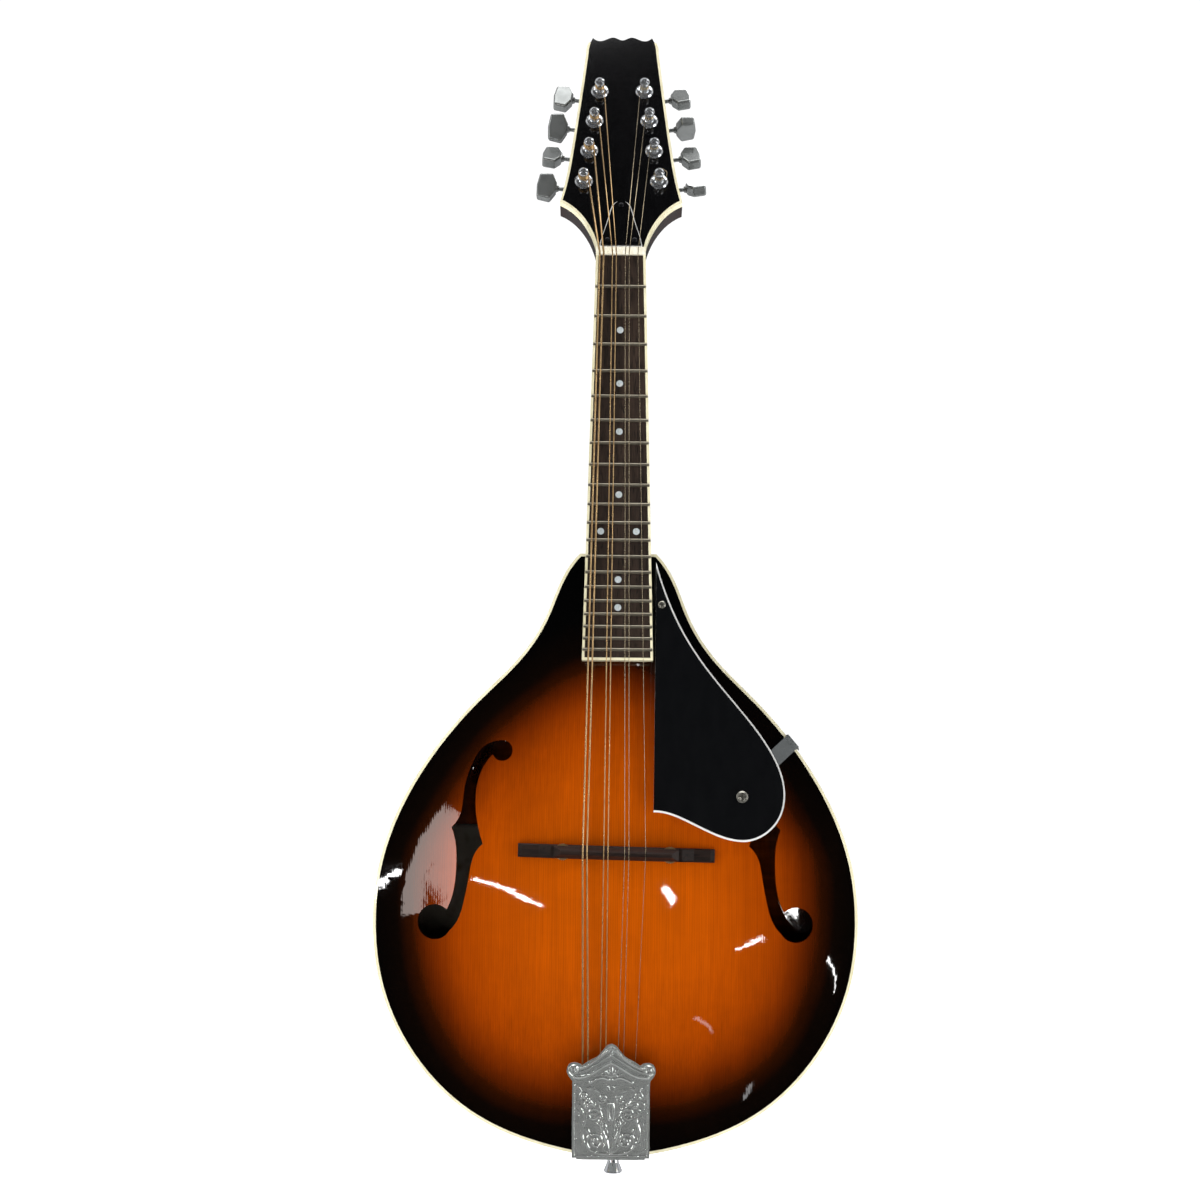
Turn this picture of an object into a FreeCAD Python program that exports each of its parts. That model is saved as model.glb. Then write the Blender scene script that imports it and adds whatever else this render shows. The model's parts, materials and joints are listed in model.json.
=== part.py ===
import FreeCAD, Part
import math
import os

# A-style mandolin with a carved top, in millimetres.
# Row frame: +Z runs from the strap button to the headstock tip, +X to the treble side and
# -Y out of the soundboard. The origin is the middle of the strap button's flat end.

Vector = FreeCAD.Vector
Placement = FreeCAD.Placement
Rotation = FreeCAD.Rotation
X_AXIS = Vector(1, 0, 0)
Y_AXIS = Vector(0, 1, 0)
Z_AXIS = Vector(0, 0, 1)

SIZES = (
    ("scale_length", 350.0),
    ("fret_count", 20),
    ("nut_width", 29.9),
    ("nut_length", 5.0),
    ("fingerboard_end_width", 41.2),
    ("fingerboard_length", 245.9),
    ("fingerboard_thickness", 6.0),
    ("fret_width", 1.9),
    ("fret_height", 1.0),
    ("dot_diameter", 4.0),
    ("neck_angle", 4.5),
    ("headstock_angle", 14.0),
    ("headstock_thickness", 14.5),
    ("veneer_thickness", 1.5),
    ("body_tail_height", 12.8),
    ("joint_height", 356.0),
    ("joint_standoff", 31.5),
    ("body_top_height", 360.0),
    ("body_depth", 42.0),
    ("plate_thickness", 4.0),
    ("rim_thickness", 2.2),
    ("binding_width", 1.6),
    ("top_arch", 11.5),
    ("back_arch", 11.0),
    ("lining_width", 5.5),
    ("lining_depth", 8.0),
    ("bridge_height", 185.6),
    ("bridge_shift", 0.3),
    ("bridge_skew", 1.2),
    ("bridge_length", 113.0),
    ("bridge_thickness", 7.8),
    ("bridge_base_rise", 5.4),
    ("bridge_post_spacing", 61.2),
    ("bridge_post_diameter", 2.9),
    ("wheel_diameter", 9.6),
    ("wheel_thickness", 1.8),
    ("wheel_gap", 1.2),
    ("saddle_length", 71.0),
    ("saddle_rise", 6.5),
    ("string_rise", 47.7),
    ("tailpiece_shift", -1.5),
    ("tailpiece_width", 44.0),
    ("tailpiece_length", 43.6),
    ("cover_depth", 9.6),
    ("cover_sheet", 0.8),
    ("cover_slope", 6.35),
    ("base_sheet", 1.2),
    ("strap_button_diameter", 10.5),
    ("strap_button_length", 11.6),
    ("pickguard_black_ply", 1.6),
    ("pickguard_white_ply", 0.9),
    ("pickguard_drop", 1.0),
    ("bracket_width", 9.5),
    ("bracket_sheet", 1.2),
    ("cover_ply", 1.2),
    ("cover_white_ply", 0.6),
    ("tuner_spacing", 23.2),
    ("tuner_row_angle", 7.5),
    ("tuner_row_offset", 18.55),
    ("tuner_row_height", 83.75),
    ("gear_teeth", 14),
    ("gear_pitch_radius", 4.6),
    ("gear_thickness", 2.4),
    ("worm_distance", 6.8),
    ("tuner_plate_sheet", 0.9),
    ("post_diameter", 6.0),
    ("running_clearance", 0.05),
    ("bushing_diameter", 11.0),
    ("button_width", 20.0),
    ("button_length", 13.7),
    ("button_thickness", 6.6),
)

doc = FreeCAD.newDocument("mandolin")
sheet = doc.addObject("Spreadsheet::Sheet", "Dimensions")
for row, (alias, value) in enumerate(SIZES, start=1):
    sheet.set(f"A{row}", alias)
    sheet.set(f"B{row}", str(value))
    sheet.setAlias(f"B{row}", alias)
doc.recompute()


def size(alias):
    """A driving dimension, read from the sheet."""
    return float(getattr(sheet, alias))


# ---------------------------------------------------------------- frames

NECK_ANGLE = size("neck_angle")
HEAD_ANGLE = size("headstock_angle")
NUT_FRONT = 186.0
NUT_BACK = NUT_FRONT + size("nut_length")
HEAD_DROP = 2.0

ROW = Placement()
NECK = Placement(
    Vector(0, -size("joint_standoff"), size("joint_height")), Rotation(X_AXIS, -NECK_ANGLE)
)
HEAD = NECK.multiply(Placement(Vector(0, HEAD_DROP, NUT_BACK), Rotation(X_AXIS, -HEAD_ANGLE)))
BRIDGE = Placement(
    Vector(size("bridge_shift"), 0, size("bridge_height")), Rotation(Y_AXIS, size("bridge_skew"))
)
COVER_ORIGIN = Vector(size("tailpiece_shift"), -31.4, 14.3)
COVER = Placement(COVER_ORIGIN, Rotation(X_AXIS, size("cover_slope")))


def tuner_frame(side):
    """The frame of one row of tuners: side is -1 for bass and +1 for treble."""
    turn = Rotation(Y_AXIS, -side * size("tuner_row_angle"))
    place = Vector(side * size("tuner_row_offset"), 0, size("tuner_row_height"))
    return HEAD.multiply(Placement(place, turn))


# ---------------------------------------------------------------- building helpers

nodes = {}


def name_node(item, label, frame=ROW):
    """Register a finished sub-part under its file name, in its frame."""
    item.Label = label
    item.Placement = frame
    nodes[label] = item
    return item


def shape_node(label, shape, frame=ROW):
    """A sub-part whose shape comes from Part's own functions."""
    item = doc.addObject("Part::Feature", label)
    item.Shape = shape
    return name_node(item, label, frame)


def new_body(label, frame=ROW):
    """An empty PartDesign body for a sub-part."""
    return name_node(doc.addObject("PartDesign::Body", label), label, frame)


def origin_plane(body, role):
    """The body's own origin plane with this role, such as XZ_Plane."""
    return next(item for item in body.Origin.OriginFeatures if item.Role == role)


def new_sketch(body, role, curves, name, lift=0.0, tilt=0.0, start=0.0):
    """A sketch of these curves, lifted along its plane's normal and tilted about a line at start."""
    drawing = body.newObject("Sketcher::SketchObject", name)
    drawing.AttachmentSupport = [(origin_plane(body, role), "")]
    drawing.MapMode = "FlatFace"
    drawing.AttachmentOffset = Placement(Vector(0, start, lift), Rotation(X_AXIS, tilt))
    for curve in curves:
        drawing.addGeometry(curve, False)
    return drawing


def pad(body, drawing, name, length, back=False):
    """Pad a sketch by a sheet alias or expression; back pads against the plane's normal."""
    feature = body.newObject("PartDesign::Pad", name)
    feature.Profile = drawing
    feature.setExpression("Length", length)
    feature.Reversed = back
    drawing.Visibility = False
    body.Tip = feature
    return feature


def pocket(body, drawing, name, length=None, back=False):
    """Pocket a sketch, right through when no length is given, and check that it cuts."""
    doc.recompute()
    before = body.Shape.Volume
    feature = body.newObject("PartDesign::Pocket", name)
    feature.Profile = drawing
    feature.Reversed = back
    if length is None:
        feature.Type = "ThroughAll"
        feature.Midplane = True
    else:
        feature.setExpression("Length", length)
    body.Tip = feature
    doc.recompute()
    if body.Shape.Volume >= before - 1e-6:
        raise RuntimeError(f"{name} cuts nothing")
    return feature


def polygon(points):
    """Closed straight-sided outline for a sketch."""
    corners = [Vector(a, b, 0) for a, b in points]
    return [Part.LineSegment(p, q) for p, q in zip(corners, corners[1:] + corners[:1])]


def rectangle(low_a, low_b, high_a, high_b):
    """Rectangle outline for a sketch."""
    return polygon(((low_a, low_b), (high_a, low_b), (high_a, high_b), (low_a, high_b)))


def circle(centre_a, centre_b, radius):
    """Circle for a sketch."""
    return Part.Circle(Vector(centre_a, centre_b, 0), Z_AXIS, radius)


def spline(points, start=None, end=None):
    """Curve through the points, with optional end directions."""
    curve = Part.BSplineCurve()
    if start is None:
        curve.interpolate(points)
    else:
        curve.interpolate(Points=points, InitialTangent=start, FinalTangent=end)
    return curve


def front(points):
    """Points given as (x, z), placed in the plane y = 0."""
    return [Vector(a, 0, b) for a, b in points]


def mirror_x(points):
    """The same points on the other side, in reverse order."""
    return [(-a, b) for a, b in reversed(points)]


def closed_face(curves):
    """A face bounded by these curves, in order."""
    edges = [curve.toShape() for curve in curves]
    return Part.Face(Part.Wire(Part.__sortEdges__(edges)))


def slab(face, low, high):
    """A face in the plane y = 0, made solid from y = low to y = high."""
    moved = face.copy()
    moved.translate(Vector(0, low, 0))
    return moved.extrude(Vector(0, high - low, 0))


def block(low, high):
    """A box from its lowest to its highest corner."""
    spans = [b - a for a, b in zip(low, high)]
    return Part.makeBox(*spans, Vector(*low))


def rod(radius, start, end):
    """A cylinder from one point to another."""
    axis = end - start
    return Part.makeCylinder(radius, axis.Length, start, axis)


def turned(profile, origin, axis):
    """A solid of revolution from (radius, height) points about an axis."""
    corners = [Vector(r, 0, h) for r, h in profile]
    wire = Part.makePolygon(corners + corners[:1])
    solid = Part.Face(wire).revolve(Vector(0, 0, 0), Z_AXIS, 360)
    solid.Placement = Placement(origin, Rotation(Z_AXIS, axis))
    return solid


def wood_screw(origin, axis, head_radius=1.9, shank_radius=0.95, shank=7.0):
    """A domed cross-head wood screw: its head stands on origin and faces along axis."""
    head_height = 0.5 * head_radius
    profile = [(0, -shank), (0.25 * shank_radius, -shank), (shank_radius, 1.5 - shank)]
    profile += [(shank_radius, 0), (head_radius, 0), (head_radius, 0.35 * head_height)]
    profile += [(0.72 * head_radius, 0.82 * head_height), (0.3 * head_radius, head_height)]
    profile += [(0, head_height)]
    solid = turned(profile, Vector(0, 0, 0), Z_AXIS)
    narrow = 0.13 * head_radius
    arm = 0.62 * head_radius
    for a, b in ((narrow, arm), (arm, narrow)):
        solid = solid.cut(block((-a, -b, 0.4 * head_height), (a, b, 2 * head_height)))
    solid.Placement = Placement(origin, Rotation(Z_AXIS, axis))
    return solid


def screw_hole(origin, axis, shank_radius=0.95, shank=7.0):
    """The hole that a wood screw cuts for its shank."""
    return rod(shank_radius, origin + axis * 0.01, origin - axis * (shank + 0.2))


# ---------------------------------------------------------------- body outline and arching

ARCH_CENTRE = 165.0
NECK_CORNER = (22.5, size("body_top_height"))
SHOULDER_AND_BOUT = (
    NECK_CORNER,
    (32.3, 346.3),
    (42.3, 322.0),
    (56.9, 299.0),
    (81.6, 273.7),
    (111.8, 236.3),
    (136.5, 180.9),
    (140.2, 144.4),
    (135.1, 108.1),
    (118.3, 72.2),
    (82.5, 36.6),
    (39.0, 18.4),
)
TAIL = (0.0, size("body_tail_height"))
outline_points = list(SHOULDER_AND_BOUT) + [TAIL] + mirror_x(SHOULDER_AND_BOUT)
outline_curve = spline(front(outline_points))
outline_wire = Part.Wire(
    [outline_curve.toShape(), Part.makeLine(*front((mirror_x((NECK_CORNER,))[0], NECK_CORNER)))]
)


def body_prism(inset, low, high):
    """The body's outline drawn in by inset, made solid from y = low to y = high."""
    if inset == 0.0:
        return slab(Part.Face(outline_wire), low, high)
    first, last = outline_curve.FirstParameter, outline_curve.LastParameter
    steps = 90
    points = []
    for step in range(steps + 1):
        place = first + (last - first) * step / steps
        inward = Y_AXIS.cross(outline_curve.tangent(place)[0])
        points.append(outline_curve.value(place) + inward * inset)
    face = closed_face([spline(points), Part.LineSegment(points[-1], points[0])])
    below_neck = block((-200, low - 1, -10), (200, high + 1, size("body_top_height") - inset))
    return slab(face, low, high).common(below_neck)


def polar_edge():
    """Distance from the arching's centre to the outline, by direction."""
    samples = []
    for point in outline_curve.discretize(900):
        along = point.z - ARCH_CENTRE
        samples.append((math.atan2(point.x, along), math.hypot(point.x, along)))
    samples.sort()
    return samples


EDGE_SAMPLES = polar_edge()
EDGE_DIRECTIONS = [direction for direction, _ in EDGE_SAMPLES]


def edge_radius(direction):
    """Distance from the arching's centre to the edge in this direction."""
    low = 0
    high = len(EDGE_SAMPLES) - 1
    while high - low > 1:
        middle = (low + high) // 2
        if EDGE_DIRECTIONS[middle] < direction:
            low = middle
        else:
            high = middle
    (angle_a, radius_a), (angle_b, radius_b) = EDGE_SAMPLES[low], EDGE_SAMPLES[high]
    share = (direction - angle_a) / (angle_b - angle_a)
    return radius_a + min(max(share, 0.0), 1.0) * (radius_b - radius_a)


def arch(x, z, rise):
    """Height of the carved arching above the rim: flat at the edge, round in the middle."""
    reach = math.hypot(x, z - ARCH_CENTRE)
    ratio = min(reach / edge_radius(math.atan2(x, z - ARCH_CENTRE)), 1.0)
    return rise * (1 - ratio ** 3) ** 2


def arched_sheet(level, rise):
    """The arched surface standing off y = level, wider than the body on every side."""
    half_width = 148.0
    low, high = 4.0, 368.0
    across, along = 31, 37
    grid = []
    for i in range(across):
        x = -half_width + 2 * half_width * i / (across - 1)
        column = []
        for j in range(along):
            z = low + (high - low) * j / (along - 1)
            column.append(Vector(x, level + math.copysign(arch(x, z, abs(rise)), rise), z))
        grid.append(column)
    surface = Part.BSplineSurface()
    surface.interpolate(grid)
    return surface.toShape()


HALF_DEPTH = size("body_depth") / 2
PLATE = size("plate_thickness")
RIM_EDGE = HALF_DEPTH - PLATE
top_outside = arched_sheet(-HALF_DEPTH, -size("top_arch"))
back_outside = arched_sheet(HALF_DEPTH, size("back_arch"))
top_layer = top_outside.extrude(Vector(0, PLATE, 0))
back_layer = back_outside.extrude(Vector(0, -PLATE, 0))


def layer_below(face, start, thickness):
    """A layer that follows an arched surface, start below it, towards +Y or -Y."""
    moved = face.copy()
    moved.translate(Vector(0, start, 0))
    return moved.extrude(Vector(0, thickness, 0))


cavity = layer_below(top_outside, PLATE, 2 * HALF_DEPTH).common(
    layer_below(back_outside, -PLATE, -2 * HALF_DEPTH)
)

# ---------------------------------------------------------------- sound holes

UPPER_EYE = (66.5, 243.8)
UPPER_EYE_RADIUS = 6.0
LOWER_EYE = (104.2, 145.0)
LOWER_EYE_RADIUS = 10.0


def on_circle(centre, radius, degrees):
    """The point of a circle at this angle from +X towards +Z."""
    angle = math.radians(degrees)
    return (centre[0] + radius * math.cos(angle), centre[1] + radius * math.sin(angle))


def f_hole(side):
    """The through cut of one f-hole, as a prism along Y."""
    upper_out = on_circle(UPPER_EYE, UPPER_EYE_RADIUS, 80)
    upper_in = on_circle(UPPER_EYE, UPPER_EYE_RADIUS, -22)
    lower_out = on_circle(LOWER_EYE, LOWER_EYE_RADIUS, 134)
    lower_in = on_circle(LOWER_EYE, LOWER_EYE_RADIUS, 211)
    outer_upper = (upper_out, (77.5, 246.0), (84.6, 235.0), (88.6, 219.3), (89.8, 208.8), (95.3, 199.3))
    outer_lower = ((95.3, 199.3), (92.4, 188.0), (92.1, 175.0), (93.6, 162.0), lower_out)
    inner_lower = (lower_in, (89.7, 148.5), (86.9, 158.8), (84.6, 171.0), (81.9, 183.3), (76.8, 189.9))
    inner_upper = ((76.8, 189.9), (79.6, 199.0), (81.5, 212.0), (80.2, 227.0), upper_in)
    lower_far = on_circle(LOWER_EYE, LOWER_EYE_RADIUS, -10)
    upper_far = on_circle(UPPER_EYE, UPPER_EYE_RADIUS, 209)

    def placed(points):
        return front([(side * a, b) for a, b in points])

    edges = [spline(placed(run)).toShape() for run in (outer_upper, outer_lower)]
    edges.append(Part.Arc(*placed((lower_out, lower_far, lower_in))).toShape())
    edges += [spline(placed(run)).toShape() for run in (inner_lower, inner_upper)]
    edges.append(Part.Arc(*placed((upper_in, upper_far, upper_out))).toShape())
    face = Part.Face(Part.Wire(Part.__sortEdges__(edges)))
    return slab(face, -2 * HALF_DEPTH, -5.0)


def make_soundbox():
    """Carved plates, bindings, rim, linings, blocks and tone bars."""
    inset = size("binding_width")
    inner_plate = body_prism(inset, -60, 60)
    top_plate = top_layer.common(inner_plate)
    for side in (-1, 1):
        top_plate = top_plate.cut(f_hole(side))
    shape_node("top_plate", top_plate.cut(guard_screw_hole()))
    shape_node("back_plate", back_layer.common(inner_plate))
    edge = body_prism(0.0, -HALF_DEPTH, -RIM_EDGE).cut(inner_plate)
    shape_node("top_binding", edge.cut(neck_mortise()))
    shape_node("back_binding", body_prism(0.0, RIM_EDGE, HALF_DEPTH).cut(inner_plate))

    wall = size("rim_thickness")
    inside = body_prism(wall, -60, 60)
    rim = body_prism(0.0, -RIM_EDGE, RIM_EDGE).cut(inside)
    rim = rim.cut(neck_mortise()).cut(end_pin_hole()).cut(tail_screw_holes())
    rim = rim.cut(moved(screw_hole(Vector(0, 0, 0), Z_AXIS, shank=FOOT_SCREW_SHANK), bracket_foot_frame()))
    shape_node("rim", rim)

    core = body_prism(wall + size("lining_width"), -60, 60)
    hollow = inside.cut(core)
    strips = []
    deep = size("lining_depth")
    for low, high in ((-RIM_EDGE, deep - RIM_EDGE), (RIM_EDGE - deep, RIM_EDGE)):
        strip = hollow.common(block((-150, low, 0), (150, high, 400)))
        strip = strip.cut(block((-31, -60, 322), (31, 60, 400)))
        strips.append(strip.cut(block((-41, -60, 0), (41, 60, 42))))
    shape_node("linings", Part.makeCompound(strips))

    head_shape = closed_face([Part.LineSegment(p, q) for p, q in closed_pairs(
        front(((-19.3, 357.7), (19.3, 357.7), (27.5, 345), (29.5, 324), (-29.5, 324), (-27.5, 345))))])
    head_block = slab(head_shape, -50, 50).common(cavity).common(inside)
    shape_node("head_block", head_block.cut(neck_mortise()))
    tail_block = block((-38, -50, 10), (38, 50, 40)).common(inside).common(cavity)
    shape_node("tail_block", tail_block.cut(end_pin_hole()).cut(tail_screw_holes()))

    bars = []
    bar_layer = layer_below(top_outside, PLATE, 11.0).common(inside)
    for side in (-1, 1):
        bar = block((-3, -60, -120), (3, 60, 120))
        bar.Placement = Placement(Vector(side * 33, 0, 186), Rotation(Y_AXIS, -side * 5.0))
        bars.append(bar_layer.common(bar))
    shape_node("tone_bars", Part.makeCompound(bars))


def closed_pairs(points):
    """Neighbouring pairs of points round a closed outline."""
    return list(zip(points, points[1:] + points[:1]))


# ---------------------------------------------------------------- neck joint and tail holes

TENON_HALF = 10.0
TENON_END = 345.0
TENON_DEPTH = 14.0


def neck_mortise():
    """The slot in rim and head block that the neck's tenon fills."""
    return block((-TENON_HALF, -HALF_DEPTH - 1, TENON_END), (TENON_HALF, TENON_DEPTH, 380))


END_PIN_RADIUS = 2.5


def end_pin_hole():
    """The strap button's hole through rim and tail block."""
    return rod(END_PIN_RADIUS, Vector(0, 0, 0), Vector(0, 0, 33))


TAIL_SCREWS = ((-9.0, -6.0), (9.0, -6.0), (0.0, -13.5))


def tail_screw_holes():
    """Pilot holes for the tailpiece's screws."""
    shift = size("tailpiece_shift")
    holes = [
        rod(0.9, Vector(x + shift, y, 0), Vector(x + shift, y, 25)) for x, y in TAIL_SCREWS
    ]
    return Part.makeCompound(holes)


# ---------------------------------------------------------------- fingerboard and frets

def board_half_width(z):
    """Half the fingerboard's width at this height in the neck frame."""
    share = (NUT_FRONT - z) / size("fingerboard_length")
    return (size("nut_width") + share * (size("fingerboard_end_width") - size("nut_width"))) / 2


def fret_place(number):
    """Height of a fret in the neck frame, by the twelfth root of two."""
    return NUT_FRONT - size("scale_length") * (1 - 2 ** (-number / 12))


BOARD_END = NUT_FRONT - size("fingerboard_length")
BOARD_BINDING = 1.5
TANG_WIDTH = 0.55
TANG_DEPTH = 1.6
DOT_DEPTH = 1.2
DOT_FRETS = (3, 5, 7, 10, 12, 15, 17)
DOUBLE_DOT_FRET = 12
DOUBLE_DOT_OFFSET = 10.4


def dot_centres():
    """Where the position dots lie, in the neck frame."""
    centres = []
    for fret in DOT_FRETS:
        middle = (fret_place(fret - 1) + fret_place(fret)) / 2
        offsets = (-DOUBLE_DOT_OFFSET, DOUBLE_DOT_OFFSET) if fret == DOUBLE_DOT_FRET else (0.0,)
        centres += [(offset, middle) for offset in offsets]
    return centres


def make_fingerboard():
    """Fingerboard with slots and dot pockets, its binding, dots and frets."""
    low = board_half_width(BOARD_END) - BOARD_BINDING
    high = board_half_width(NUT_FRONT) - BOARD_BINDING
    body = new_body("fingerboard", NECK)
    inner_end = BOARD_END + BOARD_BINDING
    outline = polygon(((-low, inner_end), (low, inner_end), (high, NUT_FRONT), (-high, NUT_FRONT)))
    pad(body, new_sketch(body, "XZ_Plane", outline, "board_outline"), "board",
        "Dimensions.fingerboard_thickness", back=True)
    frets = [fret_place(number) for number in range(1, int(size("fret_count")) + 1)]
    slots = []
    for z in frets:
        slots += rectangle(-30, z - TANG_WIDTH / 2, 30, z + TANG_WIDTH / 2)
    pocket(body, new_sketch(body, "XZ_Plane", slots, "fret_slots"), "fret_slot_cuts",
           f"{TANG_DEPTH} mm", back=False)
    dots = [circle(x, z, size("dot_diameter") / 2) for x, z in dot_centres()]
    pocket(body, new_sketch(body, "XZ_Plane", dots, "dot_pockets"), "dot_pocket_cuts",
           f"{DOT_DEPTH} mm", back=False)

    body = new_body("fingerboard_dots", NECK)
    for number, (x, z) in enumerate(dot_centres()):
        drawing = new_sketch(body, "XZ_Plane", [circle(x, z, size("dot_diameter") / 2)], f"dot{number}")
        pad(body, drawing, f"dot_disc{number}", f"{DOT_DEPTH} mm", back=True)

    outer = [(-board_half_width(BOARD_END), BOARD_END), (board_half_width(BOARD_END), BOARD_END)]
    outer += [(board_half_width(NUT_FRONT), NUT_FRONT), (high, NUT_FRONT)]
    outer += [(low, inner_end), (-low, inner_end), (-high, NUT_FRONT)]
    outer += [(-board_half_width(NUT_FRONT), NUT_FRONT)]
    body = new_body("fingerboard_binding", NECK)
    pad(body, new_sketch(body, "XZ_Plane", polygon(outer), "binding_outline"), "binding",
        "Dimensions.fingerboard_thickness", back=True)

    wires = []
    half = size("fret_width") / 2
    rise = size("fret_height")
    for z in frets:
        reach = board_half_width(z) - 0.25
        crown = [
            Part.Arc(Vector(-reach, 0, z - half), Vector(-reach, -rise, z), Vector(-reach, 0, z + half)),
            Part.LineSegment(Vector(-reach, 0, z + half), Vector(-reach, 0, z - half)),
        ]
        bar = closed_face(crown).extrude(Vector(2 * reach, 0, 0))
        inner = reach - BOARD_BINDING - 0.1
        tang = block((-inner, 0, z - TANG_WIDTH / 2), (inner, TANG_DEPTH - 0.1, z + TANG_WIDTH / 2))
        wires.append(bar.fuse(tang).removeSplitter())
    shape_node("frets", Part.makeCompound(wires), NECK)


# ---------------------------------------------------------------- neck and headstock

NECK_SECTIONS = (
    # height in the neck frame, half width at the top, depth below the fingerboard
    (208.0, 11.5, 5.0),
    (202.0, 13.4, 9.6),
    (195.0, 14.4, 12.6),
    (186.0, 14.9, 13.8),
    (160.0, 15.5, 14.0),
    (130.0, 16.2, 14.2),
    (100.0, 16.9, 14.5),
    (72.0, 17.5, 14.9),
    (52.0, 18.0, 15.9),
    (38.0, 18.3, 18.4),
    (27.0, 18.6, 23.4),
    (18.0, 18.8, 30.6),
    (10.0, 19.0, 39.0),
    (1.0, 19.2, 48.0),
)
HEAD_SIDE = (
    (15.0, 0.0),
    (17.4, 8.6),
    (22.4, 19.2),
    (28.6, 27.4),
    (37.4, 33.8),
)
HEAD_UPPER_SIDE = ((37.4, 33.8), (34.4, 49.0), (31.4, 70.2), (28.6, 95.0), (25.4, 125.0), (23.0, 149.0))
HEAD_CORNER = ((23.0, 149.0), (22.2, 155.6), (18.9, 161.0))
SCALLOPS = ((18.9, 161.0), (12.0, 159.0), (5.4, 161.4), (0.0, 159.2))
CORNER_TOP = SCALLOPS[0][1]
HEAD_BINDING = 1.5
HEAD_BINDING_DEPTH = 4.0


def head_side_curves(inset=0.0):
    """The treble side of the headstock, from the nut to the top corner."""
    flare = [(x - 0.9 * inset, z + 0.75 * inset) for x, z in HEAD_SIDE]
    flare[0] = (HEAD_SIDE[0][0] - inset, 0.0)
    upper = [(x - inset, z) for x, z in HEAD_UPPER_SIDE]
    upper[0] = flare[-1] = (HEAD_SIDE[-1][0] - inset, HEAD_SIDE[-1][1] + 1.0 * inset)
    corner = [(x - inset * (z < CORNER_TOP), z) for x, z in HEAD_CORNER]
    return [flare, upper, corner]


def head_face(inset=0.0):
    """The headstock's outline; inset draws in its sides but not its scalloped top."""
    runs = head_side_curves(inset)
    curves = [spline(front(run)) for run in runs]
    curves += [spline(front(mirror_x(run))) for run in runs]
    crest = list(SCALLOPS) + mirror_x(SCALLOPS[:-1])
    curves.append(spline(front(crest)))
    start = runs[0][0]
    curves.append(Part.LineSegment(*front((mirror_x((start,))[0], start))))
    return closed_face(curves)


def neck_section(height, half_width, depth):
    """A rounded neck section: flat under the fingerboard, curved behind."""
    top = size("fingerboard_thickness")
    count = 9
    points = []
    for step in range(count):
        angle = math.pi * step / (count - 1)
        x = -half_width * math.cos(angle)
        y = top + depth * math.sin(angle) ** 0.8
        points.append(Vector(x, y, height))
    line = Part.makeLine(points[-1], points[0])
    return Part.Wire([spline(points).toShape(), line])


def truss_rod_channel():
    """The slot that holds the truss rod, in the neck frame."""
    top = size("fingerboard_thickness")
    return block((-3.0, top - 0.01, 24.0), (3.0, top + 8.0, 208.0))


def nut_pocket():
    """The pocket in the headstock's face that reaches the truss rod's nut."""
    return block((-5.5, -5.0, 1.5), (5.5, 12.0, 27.0))


def tuner_bores(radius, depth_low, depth_high):
    """Eight holes through the headstock, in its own frame."""
    bores = []
    head_inverse = HEAD.inverse()
    for side in (-1, 1):
        frame = head_inverse.multiply(tuner_frame(side))
        for along in POST_PLACES:
            bore = rod(radius, Vector(0, depth_low, along), Vector(0, depth_high, along))
            bore.Placement = frame.multiply(bore.Placement)
            bores.append(bore)
    return Part.makeCompound(bores)


POST_PLACES = tuple(size("tuner_spacing") * (number - 1.5) for number in range(4))
BUSHING_BORE = 4.2


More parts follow.
